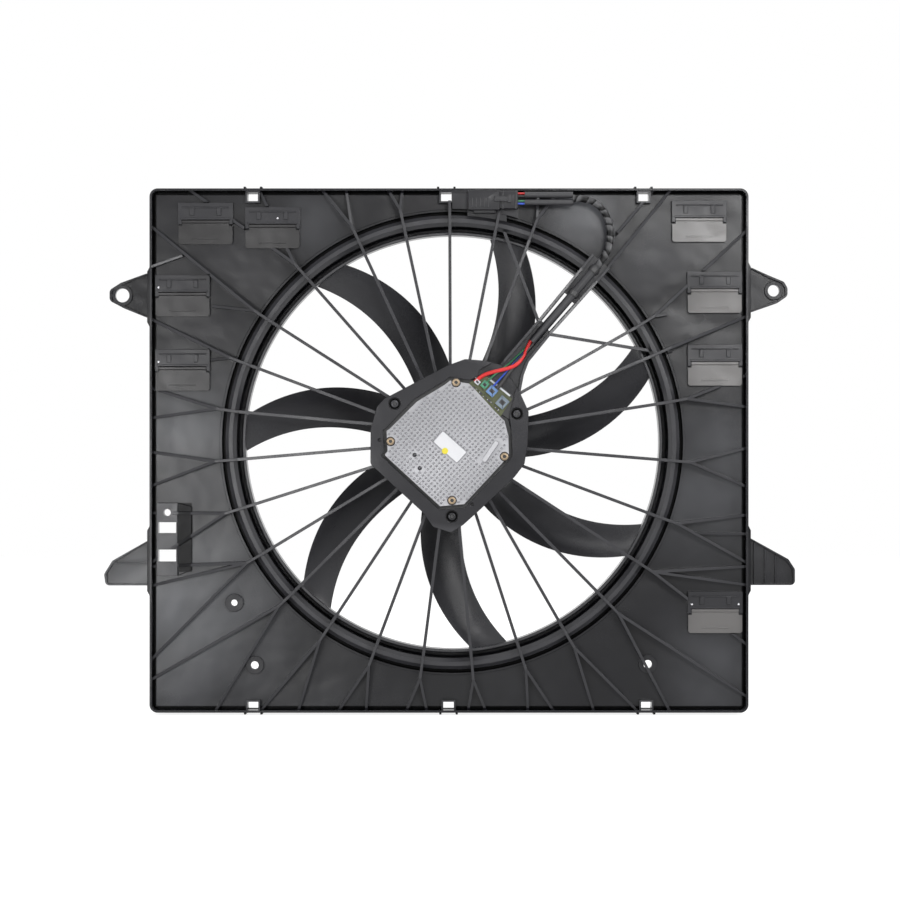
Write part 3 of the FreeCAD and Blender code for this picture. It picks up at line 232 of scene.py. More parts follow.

# Moulded plastics. Painted light makes the high spots paler by depth; on the fan, painted sheen makes
# them paler from one radius to another.
plasticLook = {
    "shroud_black": {"dark": (0.004, 0.004, 0.006), "light": (0.013, 0.013, 0.017), "rough": 0.235,
                     "edge": 0.9 * mm, "ior": 1.36, "high": (0.050, 0.050, 0.055), "share": 0.75,
                     "litDepths": (34.5, 50.0), "mount": (96.0, 90.0), "mountShare": 0.75,
                     "paintedSheen": sheenSpotLook, "groove": grooveLook},
    "fan_black": {"dark": (0.010, 0.010, 0.012), "light": (0.026, 0.026, 0.030), "rough": 0.28,
                  "edge": 0.5 * mm, "ior": 1.42, "high": (0.070, 0.070, 0.076), "share": 0.7,
                  "sheenRadii": (120.0, 235.0)},
    "flap_grey": {"dark": (0.009, 0.0085, 0.009), "light": (0.017, 0.016, 0.017), "rough": 0.22,
                  "edge": 0.4 * mm, "ior": 1.43, "high": (0.030, 0.029, 0.030), "share": 0.5,
                  "litDepths": (30.0, 60.0), "paintedReflection": (0.135, 0.130, 0.128), "reflectionRun": (150.0, 290.0)},
    "plug_grey": {"dark": (0.012, 0.012, 0.014), "light": (0.030, 0.030, 0.034), "rough": 0.36,
                  "edge": 0.3 * mm, "ior": 1.42, "high": (0.030, 0.030, 0.034), "share": 0.5,
                  "litDepths": (40.0, 80.0)},
}

# The plastics' noises by scale, detail and roughness, and how much each roughens or ripples them
grainLook = {
    "flow": (9.0, 3.0, 0.55), "cloud": (2.6, 2.0, 0.5), "grain": (1400.0, 2.0, 0.6),
    "flowRough": 0.22, "cloudRough": 0.20, "grainRough": 0.10, "waveDepth": 0.016, "grainDepth": 0.00012,
}


def squaredDistance(axes, x=0.0, z=0.0):
    across, _, height = axes
    return (across - x) * (across - x) + (height - z) * (height - z)


# How far a point lies past the plate's edge, in the groove or on the rim
def pastPlate(axes):
    across, _, height = axes
    x, z = plateLook["middle"]
    halfWidth, halfHeight = plateLook["half"]
    return ((across - x).size() - halfWidth).most((height - z).size() - halfHeight)


# Painted light: plastic is painted paler on what stands high, but not on the panel's rim and less on
# the mount; on the fan, painted sheen makes it paler towards the tips of the blades
def raisedLightMask(axes, look):
    radius = squaredDistance(axes).root()
    if "sheenRadii" in look:
        return radius.ramp(look["sheenRadii"])
    spared = pastPlate(axes).ramp(plateLook["rim"])
    if "mount" in look:
        spared = spared.most(radius.ramp(look["mount"]) * look["mountShare"])
    return axes[1].ramp(look["litDepths"]) * (1 - spared)


# Painted sheen. A spot is 1 less the squared distance over the squared radius, and that squared; the
# flow marks break the spots up.
def paintedSheenMask(axes, look, flow):
    total = 0.0
    for x, z, radius, strength in look["spots"]:
        spot = (1 - squaredDistance(axes, x, z) / radius ** 2).clipped()
        total = spot * spot * strength + total
    return (total * (flow * look["flowShare"] + look["least"])).clipped() * axes[1].ramp(look["depth"])


# Painted shade in the groove at the panel's edge and the one round the ring, up to the height of the
# ribs, the rim's own edge more faintly, the steep flank of the harness bracket, and the motor screws' wells
def grooveMask(axes, look):
    across, depth, height = axes
    past = pastPlate(axes)
    starts, ends = look["panel"]
    ring = (squaredDistance(axes).root() - look["ring"]).size().ramp(look["ringHalf"])
    total = (past.ramp(starts) * past.ramp(ends)).most(ring) * depth.ramp(look["depth"])
    starts, ends = look["rim"]
    total = total.most(past.ramp(starts) * past.ramp(ends) * look["rimShare"])
    x, z = look["flank"]
    flank = (across - x).size().ramp(look["flankWidth"]) * (height - z).size().ramp(look["flankHeight"])
    total = total.most(flank * depth.ramp(look["flankDepth"]) * look["flankShare"])
    for x, z in motorPlaces:
        total = total.most(squaredDistance(axes, x, z).root().ramp(look["well"]))
    return total


def plasticFinish(name, look):
    made = Finish(name)
    flow, cloud, grain = [made.noise(*grainLook[layer]) for layer in ("flow", "cloud", "grain")]
    axes = made.axes()
    colour = made.blend((flow * 0.6 + cloud * 0.5 - 0.1).clipped(), look["dark"], look["light"])
    # Painted light on raised parts, and painted sheen towards the blade tips
    colour = made.blend(raisedLightMask(axes, look) * look["share"], colour, look["high"])
    # Painted sheen in round spots on the plate
    if "paintedSheen" in look:
        colour = made.blend(paintedSheenMask(axes, look["paintedSheen"], flow), colour, look["paintedSheen"]["tone"])
        # Painted shade in the grooves and wells
        made.paintShade(grooveMask(axes, look["groove"]) * look["groove"]["share"])
    # Painted reflection: the flaps are painted paler towards the right, where they catch the key lamp
    if "paintedReflection" in look:
        paintedReflection = (axes[0].share(look["reflectionRun"]) + flow * 0.4 - 0.1).clipped()
        colour = made.blend(paintedReflection, colour, look["paintedReflection"])
    rough = (flow - 0.5) * grainLook["flowRough"] + (cloud - 0.5) * grainLook["cloudRough"]
    rough = rough + (grain - 0.5) * grainLook["grainRough"] + look["rough"]
    wavy = made.bump(cloud + flow * 0.2, 0.6, grainLook["waveDepth"], made.edges(look["edge"]))
    return made.set(Base_Color=colour, Roughness=rough, IOR=look["ior"],
                    Normal=made.bump(grain, 0.18, grainLook["grainDepth"], wavy))


# Metals: dark and light tone, roughness, and the scale and depth of the grain
metalLook = {
    "rotor_steel": ((0.10, 0.10, 0.11), (0.20, 0.20, 0.21), 0.4, 500.0, 0.0001),
    "bearing_steel": ((0.5, 0.5, 0.52), (0.68, 0.68, 0.7), 0.25, 900.0, 0.00005),
    "black_steel": ((0.012, 0.012, 0.013), (0.075, 0.075, 0.08), 0.26, 700.0, 0.00012),
    "cast_aluminium": ((0.34, 0.34, 0.355), (0.50, 0.50, 0.52), 0.55, 700.0, 0.00025),
    "lamination_steel": ((0.28, 0.28, 0.3), (0.45, 0.45, 0.46), 0.45, 1200.0, 0.0001),
    "copper_winding": ((0.55, 0.22, 0.10), (0.85, 0.45, 0.25), 0.35, 800.0, 0.0002),
    "bronze_screw": ((0.15, 0.11, 0.07), (0.42, 0.33, 0.23), 0.34, 900.0, 0.00012),
}


def metalFinish(name, dark, light, rough, grainScale, grainDepth):
    made = Finish(name)
    grain = made.noise(grainScale, 4.0, 0.62)
    stain = made.noise(24.0)
    colour = made.blend((stain * 0.7 + grain * 0.5 - 0.1).clipped(), dark, light)
    spread = (grain - 0.5) * 0.25 + (stain - 0.5) * 0.15 + rough
    relief = made.bump(grain, 0.4, grainDepth, made.edges(0.0003))
    return made.set(Base_Color=colour, Roughness=spread, Metallic=1.0, Normal=relief)


# Dyed plastics, rubber and paper: dark and light tone, roughness, and the scale of the grain
dyedLook = {
    "magnet_grey": ((0.05, 0.05, 0.055), (0.10, 0.10, 0.105), 0.6, 900.0),
    "board_green": ((0.05, 0.075, 0.02), (0.16, 0.17, 0.05), 0.35, 300.0),
    "capacitor_grey": ((0.03, 0.03, 0.035), (0.08, 0.08, 0.09), 0.35, 900.0),
    "terminal_green": ((0.05, 0.24, 0.13), (0.10, 0.40, 0.24), 0.4, 900.0),
    "terminal_blue": ((0.10, 0.20, 0.42), (0.18, 0.32, 0.58), 0.4, 900.0),
    "terminal_grey": ((0.14, 0.18, 0.22), (0.26, 0.32, 0.38), 0.4, 900.0),
    "terminal_white": ((0.55, 0.57, 0.60), (0.80, 0.82, 0.85), 0.35, 900.0),
    "wire_red": ((0.55, 0.012, 0.015), (0.80, 0.03, 0.03), 0.35, 900.0),
    "wire_black": ((0.018, 0.017, 0.017), (0.05, 0.045, 0.045), 0.4, 900.0),
    "wire_green": ((0.03, 0.16, 0.07), (0.07, 0.30, 0.14), 0.4, 900.0),
    "wire_blue": ((0.03, 0.08, 0.55), (0.07, 0.16, 0.80), 0.4, 900.0),
    "sleeve_black": ((0.016, 0.016, 0.018), (0.045, 0.045, 0.05), 0.42, 400.0),
    "tie_black": ((0.012, 0.012, 0.013), (0.03, 0.03, 0.032), 0.35, 900.0),
    "label_white": ((0.70, 0.71, 0.74), (0.79, 0.79, 0.81), 0.5, 1200.0),
    "label_yellow": ((0.74, 0.62, 0.03), (0.84, 0.74, 0.06), 0.5, 1200.0),
}


def dyedFinish(name, dark, light, rough, grainScale):
    made = Finish(name)
    grain = made.noise(grainScale)
    smear = made.noise(60.0)
    colour = made.blend((smear * 0.8 + grain * 0.3 - 0.05).clipped(), dark, light)
    spread = (smear - 0.5) * 0.2 + (grain - 0.5) * 0.1 + rough
    relief = made.bump(grain, 0.25, 0.00015, made.edges(0.0002))
    return made.set(Base_Color=colour, Roughness=spread, Normal=relief)


# Wound tape, with blotches: painted shade darkens each turn where it dips under the next one's edge,
# and painted light makes each turn paler towards its crest.
def tapeFinish(name, dark, light):
    made = Finish(name)
    share = made.read(made.node("ShaderNodeAttribute", {"attribute_name": "tapeShare"}), "Fac")
    grain = made.noise(1500.0)
    cloud = made.noise(120.0)
    colour = made.blend((share * 1.1 + grain * 0.3 + cloud * 1.2 - 1.0).clipped(), dark, light)
    # Painted shade where each turn dips under the next
    made.paintShade(((1 - share) * 1.6 - 0.9 + cloud * 0.4).clipped() * 0.8)
    rough = (cloud - 0.5) * 0.3 + 0.38
    return made.set(Base_Color=colour, Roughness=rough, Normal=made.bump(grain, 0.3, 0.0001))


finishes = {"tape_black": tapeFinish("tape_black", (0.004, 0.004, 0.005), (0.10, 0.10, 0.105))}
for slot, slotLook in plasticLook.items():
    finishes[slot] = plasticFinish(slot, slotLook)
for slot, slotLook in metalLook.items():
    finishes[slot] = metalFinish(slot, *slotLook)
for slot, slotLook in dyedLook.items():
    finishes[slot] = dyedFinish(slot, *slotLook)
slotOf = {row["node"]: row["material_slot"] for row in frame["record"]["subparts"]}
print("finishes made,", len(finishes))


# A carried node keeps its mesh; welding and splitting at sharp edges only steer its shading.
def dressNode(name):
    node = frame["nodes"][name]
    node.data.materials.clear()
    node.data.materials.append(finishes[slotOf[name]])
    node.data.polygons.foreach_set("use_smooth", np.ones(len(node.data.polygons), bool))
    weld = node.modifiers.new("weld", "WELD")
    weld.merge_threshold = 0.002 * mm
    split = node.modifiers.new("split", "EDGE_SPLIT")
    split.split_angle = math.radians(28)


for nodeName in frame["nodes"]:
    dressNode(nodeName)
print("nodes dressed")


# Points on an outline moved inwards by a distance: each corner slides along the bisector of its
# two edges, by the distance over the cosine of half the turn. Outlines run anticlockwise.
def insetOutline(outline, inset):
    edge = np.roll(outline, -1, axis=0) - outline
    edge = edge / np.linalg.norm(edge, axis=1, keepdims=True)
    inward = np.stack([-edge[:, 1], edge[:, 0]], axis=1)
    before = np.roll(inward, 1, axis=0)
    share = 1 + np.sum(inward * before, axis=1, keepdims=True)
    return outline + inset * (inward + before) / share


# An outline whose corners are arcs: around each corner, the arc's angle runs from one edge's
# normal to the next. Its centre lies where the outline moved in by the radius has its corner,
# or moved out by it where the outline turns the other way.
def roundOutline(outline, radius, steps=5):
    outline = np.array(outline, float)
    edge = np.roll(outline, -1, axis=0) - outline
    heading = np.arctan2(edge[:, 1], edge[:, 0]) - math.pi / 2
    start = np.roll(heading, 1)
    turn = (heading - start + math.pi) % (2 * math.pi) - math.pi
    reach = radius * np.where(turn < 0, -1, 1)[:, None]
    centre = insetOutline(outline, reach)
    angle = start[:, None] + turn[:, None] * np.linspace(0, 1, steps)[None, :]
    arc = np.stack([np.cos(angle), np.sin(angle)], axis=2)
    return (centre[:, None, :] + reach[:, :, None] * arc).reshape(-1, 2)


# Places turned about the origin
def turned(places, degrees):
    cosine, sine = polar(1.0, degrees)
    return places @ np.array([(cosine, sine), (-sine, cosine)])


# Box outline turned about its middle
def boxOutline(x, z, width, height, degrees=0.0):
    corners = np.array([(-1, -1), (1, -1), (1, 1), (-1, 1)], float) * (width / 2, height / 2)
    return turned(corners, degrees) + (x, z)


def roundBox(x, z, width, height, corner, degrees=0.0, steps=4):
    return roundOutline(boxOutline(x, z, width, height, degrees), corner, steps)


def circleOutline(x, z, radius, count=32):
    angle = np.arange(count) * 2 * math.pi / count
    return np.stack([x + radius * np.cos(angle), z + radius * np.sin(angle)], axis=1)


# Looks whether the record names a slot for the finish and drops the answer; no slot is named. The
# record names no slot for a finish that only details of this script wear.
def nameSlot(finish):
    finish in slotOf.values()


# Millimetre places (x, depth, z) to a mesh in the frame, with faces turned outwards
def makeMesh(name, points, faces, finish, body, crease=30):
    mesh = bpy.data.meshes.new(name)
    spots = np.array(points, float).reshape(-1, 3) * (mm, -mm, mm)
    mesh.from_pydata(spots.tolist(), [], faces)
    work = bmesh.new()
    work.from_mesh(mesh)
    bmesh.ops.remove_doubles(work, verts=work.verts, dist=0.001 * mm)
    bmesh.ops.recalc_face_normals(work, faces=work.faces)
    work.to_mesh(mesh)
    work.free()
    mesh.polygons.foreach_set("use_smooth", np.ones(len(mesh.polygons), bool))
    mesh.materials.append(finishes[finish])
    made = bpy.data.objects.new(name, mesh)
    scene.collection.objects.link(made)
    if crease:
        split = made.modifiers.new("crease", "EDGE_SPLIT")
        split.split_angle = math.radians(crease)
    nameSlot(finish)
    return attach(made, body)


# Quads of a grid of rows by columns; the columns close on themselves, and the rows may too.
def gridFaces(rows, columns, rowsClosed=False, base=0):
    r = np.arange(rows if rowsClosed else rows - 1)
    r, c = [grid.ravel() for grid in np.meshgrid(r, np.arange(columns), indexing="ij")]
    up = (r + 1) % rows
    side = (c + 1) % columns
    quads = np.stack([r * columns + c, r * columns + side, up * columns + side, up * columns + c], axis=1)
    return (quads + base).tolist()


# Rings of one outline, each (inset, depth), joined into a closed solid with flat ends
def stackFaces(rings, columns, base=0):
    starts = (base, base + (rings - 1) * columns)
    return gridFaces(rings, columns, base=base) + [list(range(start, start + columns)) for start in starts]


def stackPoints(outline, steps):
    outline = np.array(outline, float)
    rings = [np.insert(insetOutline(outline, inset), 1, depth, axis=1) for inset, depth in steps]
    return np.array(rings)


# Many stacks as one mesh, each from its own outline and steps
def makeStacks(name, rows, finish, body="shroud", crease=30):
    points = []
    faces = []
    base = 0
    for outline, steps in rows:
        grid = stackPoints(outline, steps)
        faces += stackFaces(len(steps), grid.shape[1], base)
        points.append(grid.reshape(-1, 3))
        base += grid.shape[0] * grid.shape[1]
    return makeMesh(name, np.concatenate(points), faces, finish, body, crease)


def makeStack(name, outline, steps, finish, crease=30):
    return makeStacks(name, [(outline, steps)], finish, crease=crease)


# Steps of a block with straight sides, whose top edge is drawn in over the last bit of its height
def blockSteps(low, high, inset, drop):
    return [(0, low), (0, high - drop), (inset, high)]


# A profile of (radius, depth) turned about an axis along depth: every point goes round a circle.
# With lobes, the radius also swings with the angle, as in a star-shaped socket.
def turnedPoints(x, z, profile, count, lobes=None):
    profile = np.array(profile, float)
    angle = np.arange(count) * 2 * math.pi / count
    radius = profile[:, :1] * np.ones(count)
    if lobes is not None:
        radius = radius * (1 + np.array(lobes)[:, None] * np.cos(6 * angle)[None, :])
    depth = profile[:, 1:] * np.ones(count)
    return np.stack([x + radius * np.cos(angle), depth, z + radius * np.sin(angle)], axis=2)


# A closed profile turned about the fan's own axis
def makeRing(name, profile, finish, body, count=256):
    points = turnedPoints(0, 0, profile, count)
    return makeMesh(name, points, gridFaces(len(profile), count, rowsClosed=True), finish, body, 40)


# One screw at each place: a rounded disc with a six-lobed socket in its face. The rim's points
# lie in from the radius and below the top; only the socket's points swing into lobes.
headLook = {"around": 36, "rim": [(0, 1.2), (0.35, 0.5), (1.1, 0.08), (1.7, 0)],
            "lobes": [0.10, 0.16, 0.16, 0]}


def makeScrews(name, places, look, finish, replaced):
    radius, near, far, socket = look["radius"], look["near"], look["far"], look["socket"]
    around, floor = headLook["around"], far - look["deep"]
    profile = [(0.01, look["tip"]), (look["shank"], look["tip"]), (look["shank"], near), (radius, near)]
    profile += [(radius - inset, far - drop) for inset, drop in headLook["rim"]]
    lobes = [0] * len(profile) + headLook["lobes"]
    profile += [(socket + 0.25, far), (socket, far - 0.3), (socket, floor), (0.01, floor)]
    points = []
    faces = []
    for x, z in places:
        faces += gridFaces(len(profile), around, base=around * len(profile) * len(points))
        points.append(turnedPoints(x, z, profile, around, lobes))
    made = makeMesh(name, np.array(points), faces, finish, "shroud", 34)
    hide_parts(replaced)
    # Painted shade: a dark disc on each socket's floor, deep in the socket
    steps = [(0, floor - 0.1), (0, floor + 0.05)]
    shadeDiscs = [(circleOutline(x, z, socket * 0.98, 24), steps) for x, z in places]
    makeStacks(name + "Floor", shadeDiscs, "tie_black")


# Fan blades. Along the radius the mean line lags by the sweep times 1 less the span to its power,
# with a small lead towards the tip, and the half width grows by a sine of the span. Across, at s
# from -1 to 1, the section bows by camber times (1 less s squared), and its thickness is widest
# near the leading edge; it swells close to the hub and the band.
bladeLook = {
    "count": 7, "firstTip": 22.6, "hub": 74.6, "band": 231.4, "spanFrom": 76.0, "spanTo": 233.6,
    "sweep": 17.2, "sweepPower": 1.6, "lead": 1.2, "leadFall": 2.6, "leadPower": 1.6,
    "rootHalf": 21.8, "tipHalf": 19.6, "belly": 2.3, "bellyPower": 0.7,
    "rootPitch": 38.0, "tipPitch": 24.0, "middle": 28.5, "camber": 0.08,
    "thick": 2.7, "edge": 0.9, "nose": 0.15, "swell": 2.2, "swellRun": 6.0, "rows": 46, "around": 44,
}


def bladeGrid(look):
    low, high = look["hub"], look["band"]
    share = 0.5 - 0.5 * np.cos(np.linspace(0, math.pi, look["rows"]))
    radius = (low + (high - low) * share)[:, None]
    span = np.clip((radius - look["spanFrom"]) / (look["spanTo"] - look["spanFrom"]), 0, 1)
    lead = look["lead"] - look["leadFall"] * (1 - span) ** look["leadPower"]
    sweep = np.radians(lead - look["sweep"] * (1 - span ** look["sweepPower"]))
    half = look["rootHalf"] + (look["tipHalf"] - look["rootHalf"]) * span
    half = half + look["belly"] * np.clip(np.sin(math.pi * span), 0, 1) ** look["bellyPower"]
    pitch = np.radians(look["rootPitch"] + (look["tipPitch"] - look["rootPitch"]) * span)
    rise = half * np.tan(pitch)
    chord = 2 * np.hypot(half, rise)
    turn = np.linspace(0, 2 * math.pi, look["around"], endpoint=False)[None, :]
    s = np.cos(turn)
    oval = np.sqrt(np.clip(1 - s ** 2, 0, 1))
    swell = sum(np.exp(-reach / look["swellRun"]) for reach in (radius - low, high - radius))
    body = (look["edge"] + (look["thick"] - look["edge"]) * oval + look["swell"] * swell) / 2
    off = look["camber"] * chord * (1 - s ** 2) + body * np.sin(turn) * (1 + look["nose"] * s)
    sideways = half * s - rise / (chord / 2) * off
    depth = look["middle"] - rise * s - half / (chord / 2) * off
    x = radius * np.cos(sweep) - sideways * np.sin(sweep)
    z = radius * np.sin(sweep) + sideways * np.cos(sweep)
    angle = np.radians(look["firstTip"] + np.arange(look["count"]) * 360 / look["count"])[:, None, None]
    return np.stack([x * np.cos(angle) - z * np.sin(angle), depth + 0 * angle,
                     x * np.sin(angle) + z * np.cos(angle)], axis=3)


def makeBlades(look):
    points = bladeGrid(look)
    count, rows, columns, _ = points.shape
    faces = []
    for index in range(count):
        faces += stackFaces(rows, columns, index * rows * columns)
    made = makeMesh("blades", points, faces, "fan_black", "fan", 40)
    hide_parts("fan_blades")


makeBlades(bladeLook)

# The band is a turned profile: a thin wall with a lip on the radiator side.
bandLook = {"radius": 233.6, "wall": 3.4, "start": 12.0, "end": 44.0, "lip": 236.0}


def makeBand(look):
    outer, start, end, lip = look["radius"], look["start"], look["end"], look["lip"]
    inner = outer - look["wall"]
    profile = [(inner, start + 1.5), (inner + 0.6, start + 0.4), (inner + 1.6, start), (lip - 0.8, start),
               (lip, start + 0.8), (lip, start + 2.8), (lip - 0.6, start + 3.4), (outer + 0.5, start + 3.6),
               (outer, start + 4.2), (outer, end - 0.6), (outer - 0.6, end), (inner + 0.6, end),
               (inner, end - 0.6)]
    ring = makeRing("bandRing", profile, "fan_black", "fan")
    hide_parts("fan_band")


makeBand(bandLook)

# The barrel's inward lip on the radiator side, which keeps air from slipping past the band
lipLook = {"outer": 240.2, "inner": 233.4, "near": 8.2, "far": 10.6}


def makeBarrelLip(look):
    outer, inner, near, far = look["outer"], look["inner"], look["near"], look["far"]
    profile = [(outer, near), (outer, far + 1.2), (outer - 1.0, far + 0.3), (outer - 2.0, far),
               (inner + 0.6, far), (inner, far - 0.6), (inner, near + 0.6), (inner + 0.6, near)]
    makeRing("barrelLip", profile, "shroud_black", "shroud")


makeBarrelLip(lipLook)
print("wheel made")

# Controller cover: an outline from the cast edge, a face at one depth and pins up to another. The
# pins keep clear of the edge, of the painted shade rings round the screws, of the label and bar, and of
# the two dots.
coverLook = {
    "outline": [(-8.3, 63.7), (-39.5, 44.8), (-69.5, 14.8), (-72.8, 12.6), (-71.7, -9.7), (-75.1, -14.1),
                (-13.9, -70.8), (12.8, -68.6), (55.0, -23.0), (62.3, -14.1), (61.7, 7.0), (57.3, 23.7),
                (46.1, 34.8), (26.1, 57.0), (18.3, 64.8), (-2.8, 68.2)],
    "near": 58.2, "rim": 79.8, "face": 79.6, "border": 0.9,
    "pitch": 4.45, "turn": -42.0, "pinFoot": 1.35, "pinHead": 0.85, "pinTop": 83.7,
    "edgeClear": 1.2, "clear": 1.6, "dotClear": 4.0,
    "screws": [(3.9, 65.9), (-68.4, 0.9), (57.3, -15.8), (-0.6, -64.2)], "seat": 5.3,
    "sealOut": 5.5, "sealNear": 58.4, "sealFar": 63.5,
    "label": {"at": (-2.9, -5.2), "size": (35.0, 16.0), "turn": -42.0, "corner": 1.5, "steps": 5},
    "bar": {"at": (41.7, -10.3), "size": (28.0, 6.0), "turn": 56.0, "corner": 2.6, "steps": 6},
    "mark": (-8.3, -9.6), "markRadius": 3.5, "dots": [(-41.7, -14.1), (-36.1, -28.6)], "dotRadius": 2.4,
}


# Shortest distance from many places to an outline, and whether each lies inside it
def outlineDistance(places, outline):
    start = outline[None, :, :]
    run = np.roll(outline, -1, axis=0)[None, :, :] - start
    gap = places[:, None, :] - start
    share = np.clip(np.sum(gap * run, axis=2) / np.sum(run * run, axis=2), 0, 1)
    near = np.linalg.norm(gap - share[..., None] * run, axis=2).min(axis=1)
    x, z = places[:, :1], places[:, 1:]
    x0, z0 = outline[:, 0], outline[:, 1]
    x1, z1 = np.roll(x0, -1), np.roll(z0, -1)
    crossing = ((z0 > z) != (z1 > z)) & (x < (x1 - x0) * (z - z0) / (z1 - z0 + 1e-9) + x0)
    return near, crossing.sum(axis=1) % 2 == 1


# The pins stand where a turned square lattice falls on the face, clear of everything on it.
def pinPlaces(look):
    step = np.arange(-24, 25) * look["pitch"]
    lattice = np.stack([grid.ravel() for grid in np.meshgrid(step, step)], axis=1)
    places = turned(lattice, look["turn"])
    near, inside = outlineDistance(places, np.array(look["outline"]))
    keep = inside & (near > look["border"] + look["edgeClear"])
    for spots, reach in ((look["screws"], look["seat"] + look["clear"]), (look["dots"], look["dotClear"])):
        for spot in spots:
            keep &= np.linalg.norm(places - spot, axis=1) > reach
    for pad in (look["label"], look["bar"]):
        off = np.abs(turned(places - pad["at"], -pad["turn"]))
        keep &= np.any(off > np.array(pad["size"]) / 2 + look["clear"], axis=1)
    return places[keep]


def makePins(look):
    face, top, head, sides = look["face"], look["pinTop"], look["pinHead"], 6
    profile = [(look["pinFoot"], face - 0.3), (head + 0.1, top - 0.5), (head * 0.55, top)]
    places = np.insert(pinPlaces(look), 1, 0, axis=1)
    points = turnedPoints(0, 0, profile, sides)[None, :, :, :] + places[:, None, None, :]
    base = np.arange(len(places))[:, None, None] * len(profile) * sides
    faces = (np.array(gridFaces(len(profile), sides))[None, :, :] + base).reshape(-1, 4).tolist()
    caps = ((len(profile) - 1) * sides + np.arange(sides)[None, :] + base[:, :, 0]).tolist()
    makeMesh("coolingPins", points, faces + caps, "cast_aluminium", "shroud", 40)


def makeCover(look):
    near, rim, face = look["near"], look["rim"], look["face"]
    steps = [(0.0, near), (0.0, rim - 0.6), (0.2, rim - 0.2), (0.5, rim), (look["border"], face)]
    outline = roundOutline(look["outline"], 1.6, 4)
    shell = makeStack("coverShell", outline, steps, "cast_aluminium", crease=34)
    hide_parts("controller_cover")
    makePins(look)
    steps = blockSteps(face - 0.1, face + 0.2, 0.15, 0.08)
    # Painted shade: a dark ring round each screw head
    seats = [(circleOutline(x, z, look["seat"], 40), steps) for x, z in look["screws"]]
    makeStacks("screwShadeRings", seats, "black_steel")
    seal = roundOutline(insetOutline(np.array(look["outline"]), -look["sealOut"]), 1.2, 4)
    makeStack("coverSeal", seal, blockSteps(look["sealNear"], look["sealFar"], 0.8, 0.8), "tie_black")
    label, bar = [roundBox(*pad["at"], *pad["size"], pad["corner"], pad["turn"], pad["steps"])
                  for pad in (look["label"], look["bar"])]
    steps = [(-0.8, face - 0.1), (-0.8, face + 1.3), (-0.2, face + 1.8)]
    makeStack("labelPad", label, steps, "cast_aluminium")
    makeStack("label", label, [(0.3, face + 1.7), (0.3, face + 2.0)], "label_white")
    mark = circleOutline(*look["mark"], look["markRadius"], 40)
    makeStack("labelMark", mark, [(0, face + 1.9), (0.1, face + 2.06)], "label_yellow")
    makeStack("castBar", bar, [(0, face - 0.1), (0.2, face + 2.6), (1.0, face + 3.2)], "cast_aluminium")
    steps = blockSteps(face - 0.1, face + 0.7, 0.4, 0.2)
    dots = [(circleOutline(x, z, look["dotRadius"], 20), steps) for x, z in look["dots"]]
    makeStacks("castDots", dots, "black_steel")


makeCover(coverLook)

screwLook = {
    "motor": {"radius": 4.8, "near": 68.0, "far": 72.0, "socket": 2.2, "deep": 1.8,
              "shank": 2.4, "tip": 51.0},
    "cover": {"radius": 4.4, "near": 79.0, "far": 82.0, "socket": 1.9, "deep": 1.6,
              "shank": 2.0, "tip": 52.5},
}
makeScrews("motorHeads", motorPlaces, screwLook["motor"], "black_steel", "motor_screws")
makeScrews("coverHeads", coverLook["screws"], screwLook["cover"], "bronze_screw", "cover_screws")
print("cover made")

# Cords follow the same points as the solids: x, depth and z in millimetres.
cordLook = {
    "wireRed": {"finish": "wire_red", "node": "wire_red", "radius": 2.1, "route": [
        (25.0, 72.2, 66.8), (31.5, 74.5, 73.2), (44, 78.2, 77.6), (60, 78.2, 81.0), (70.5, 75.5, 85.0),
        (78.6, 70.0, 94.0), (82.4, 67.4, 104.5), (87.0, 67.4, 113.0)]},
    "wireBlack": {"finish": "wire_black", "node": "wire_black", "radius": 2.1, "route": [
        (48.6, 74.5, 58.6), (55.3, 74.5, 66.1), (63, 77, 78), (72.5, 72.5, 90), (82.1, 67.4, 100.3),
        (89.9, 67.4, 109.4)]},
    "wireGreen": {"finish": "wire_green", "node": "wire_green", "radius": 1.1, "route": [
        (38.3, 73, 66.6), (44.3, 73, 73.3), (55, 71.5, 80.5), (67, 67.5, 91), (79.3, 64.2, 102.7),
        (87.1, 64.2, 111.8)]},
    "wireBlue": {"finish": "wire_blue", "node": "wire_blue", "radius": 1.1, "route": [
        (45.1, 72.9, 61.8), (51.1, 72.9, 68.5), (60.5, 70.5, 78.5), (70, 66.5, 90), (81.1, 64.2, 101.1),
        (88.9, 64.2, 110.2)]},
    "loom": {"finish": "tape_black", "node": "taped_loom", "radius": 4.4, "route": [
        (160.0, 67.4, 194.7), (169.86, 67.4, 206.17), (174.5, 64.1, 220.5), (174.5, 58.0, 240.3),
        (169.8, 56.9, 254.1), (159.8, 57.0, 264.8), (147.2, 57.0, 270.25), (133.5, 57.0, 270.25)]},
}

# The tape's windings: their pitch, how far a turn stands over the next, and the share of the way
# at which the radius is greatest. The edges wander by a sum of sines: size, rate and start of each.
tapeLook = {"rows": 420, "around": 28, "pitch": 10.5, "radius": 3.85, "step": 1.1, "crest": 0.86,
            "wander": [(0.12, 0.37, 0.0), (0.08, 0.83, 1.0)], "swell": (0.12, 0.5)}


def makeCord(name, points, radius, finish):
    curve = bpy.data.curves.new(name, "CURVE")
    curve.dimensions = "3D"
    curve.bevel_depth = radius * mm
    curve.bevel_resolution = 5
    curve.use_fill_caps = True
    line = curve.splines.new("NURBS")
    line.points.add(len(points) - 1)
    spots = np.array(points, float) * (mm, -mm, mm)
    line.points.foreach_set("co", np.insert(spots, 3, 1, axis=1).ravel())
    line.order_u = 3
    line.use_endpoint_u = True
    line.resolution_u = 10
    curve.materials.append(finishes[finish])
    made = bpy.data.objects.new(name, curve)
    scene.collection.objects.link(made)
    nameSlot(finish)
    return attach(made, "shroud")


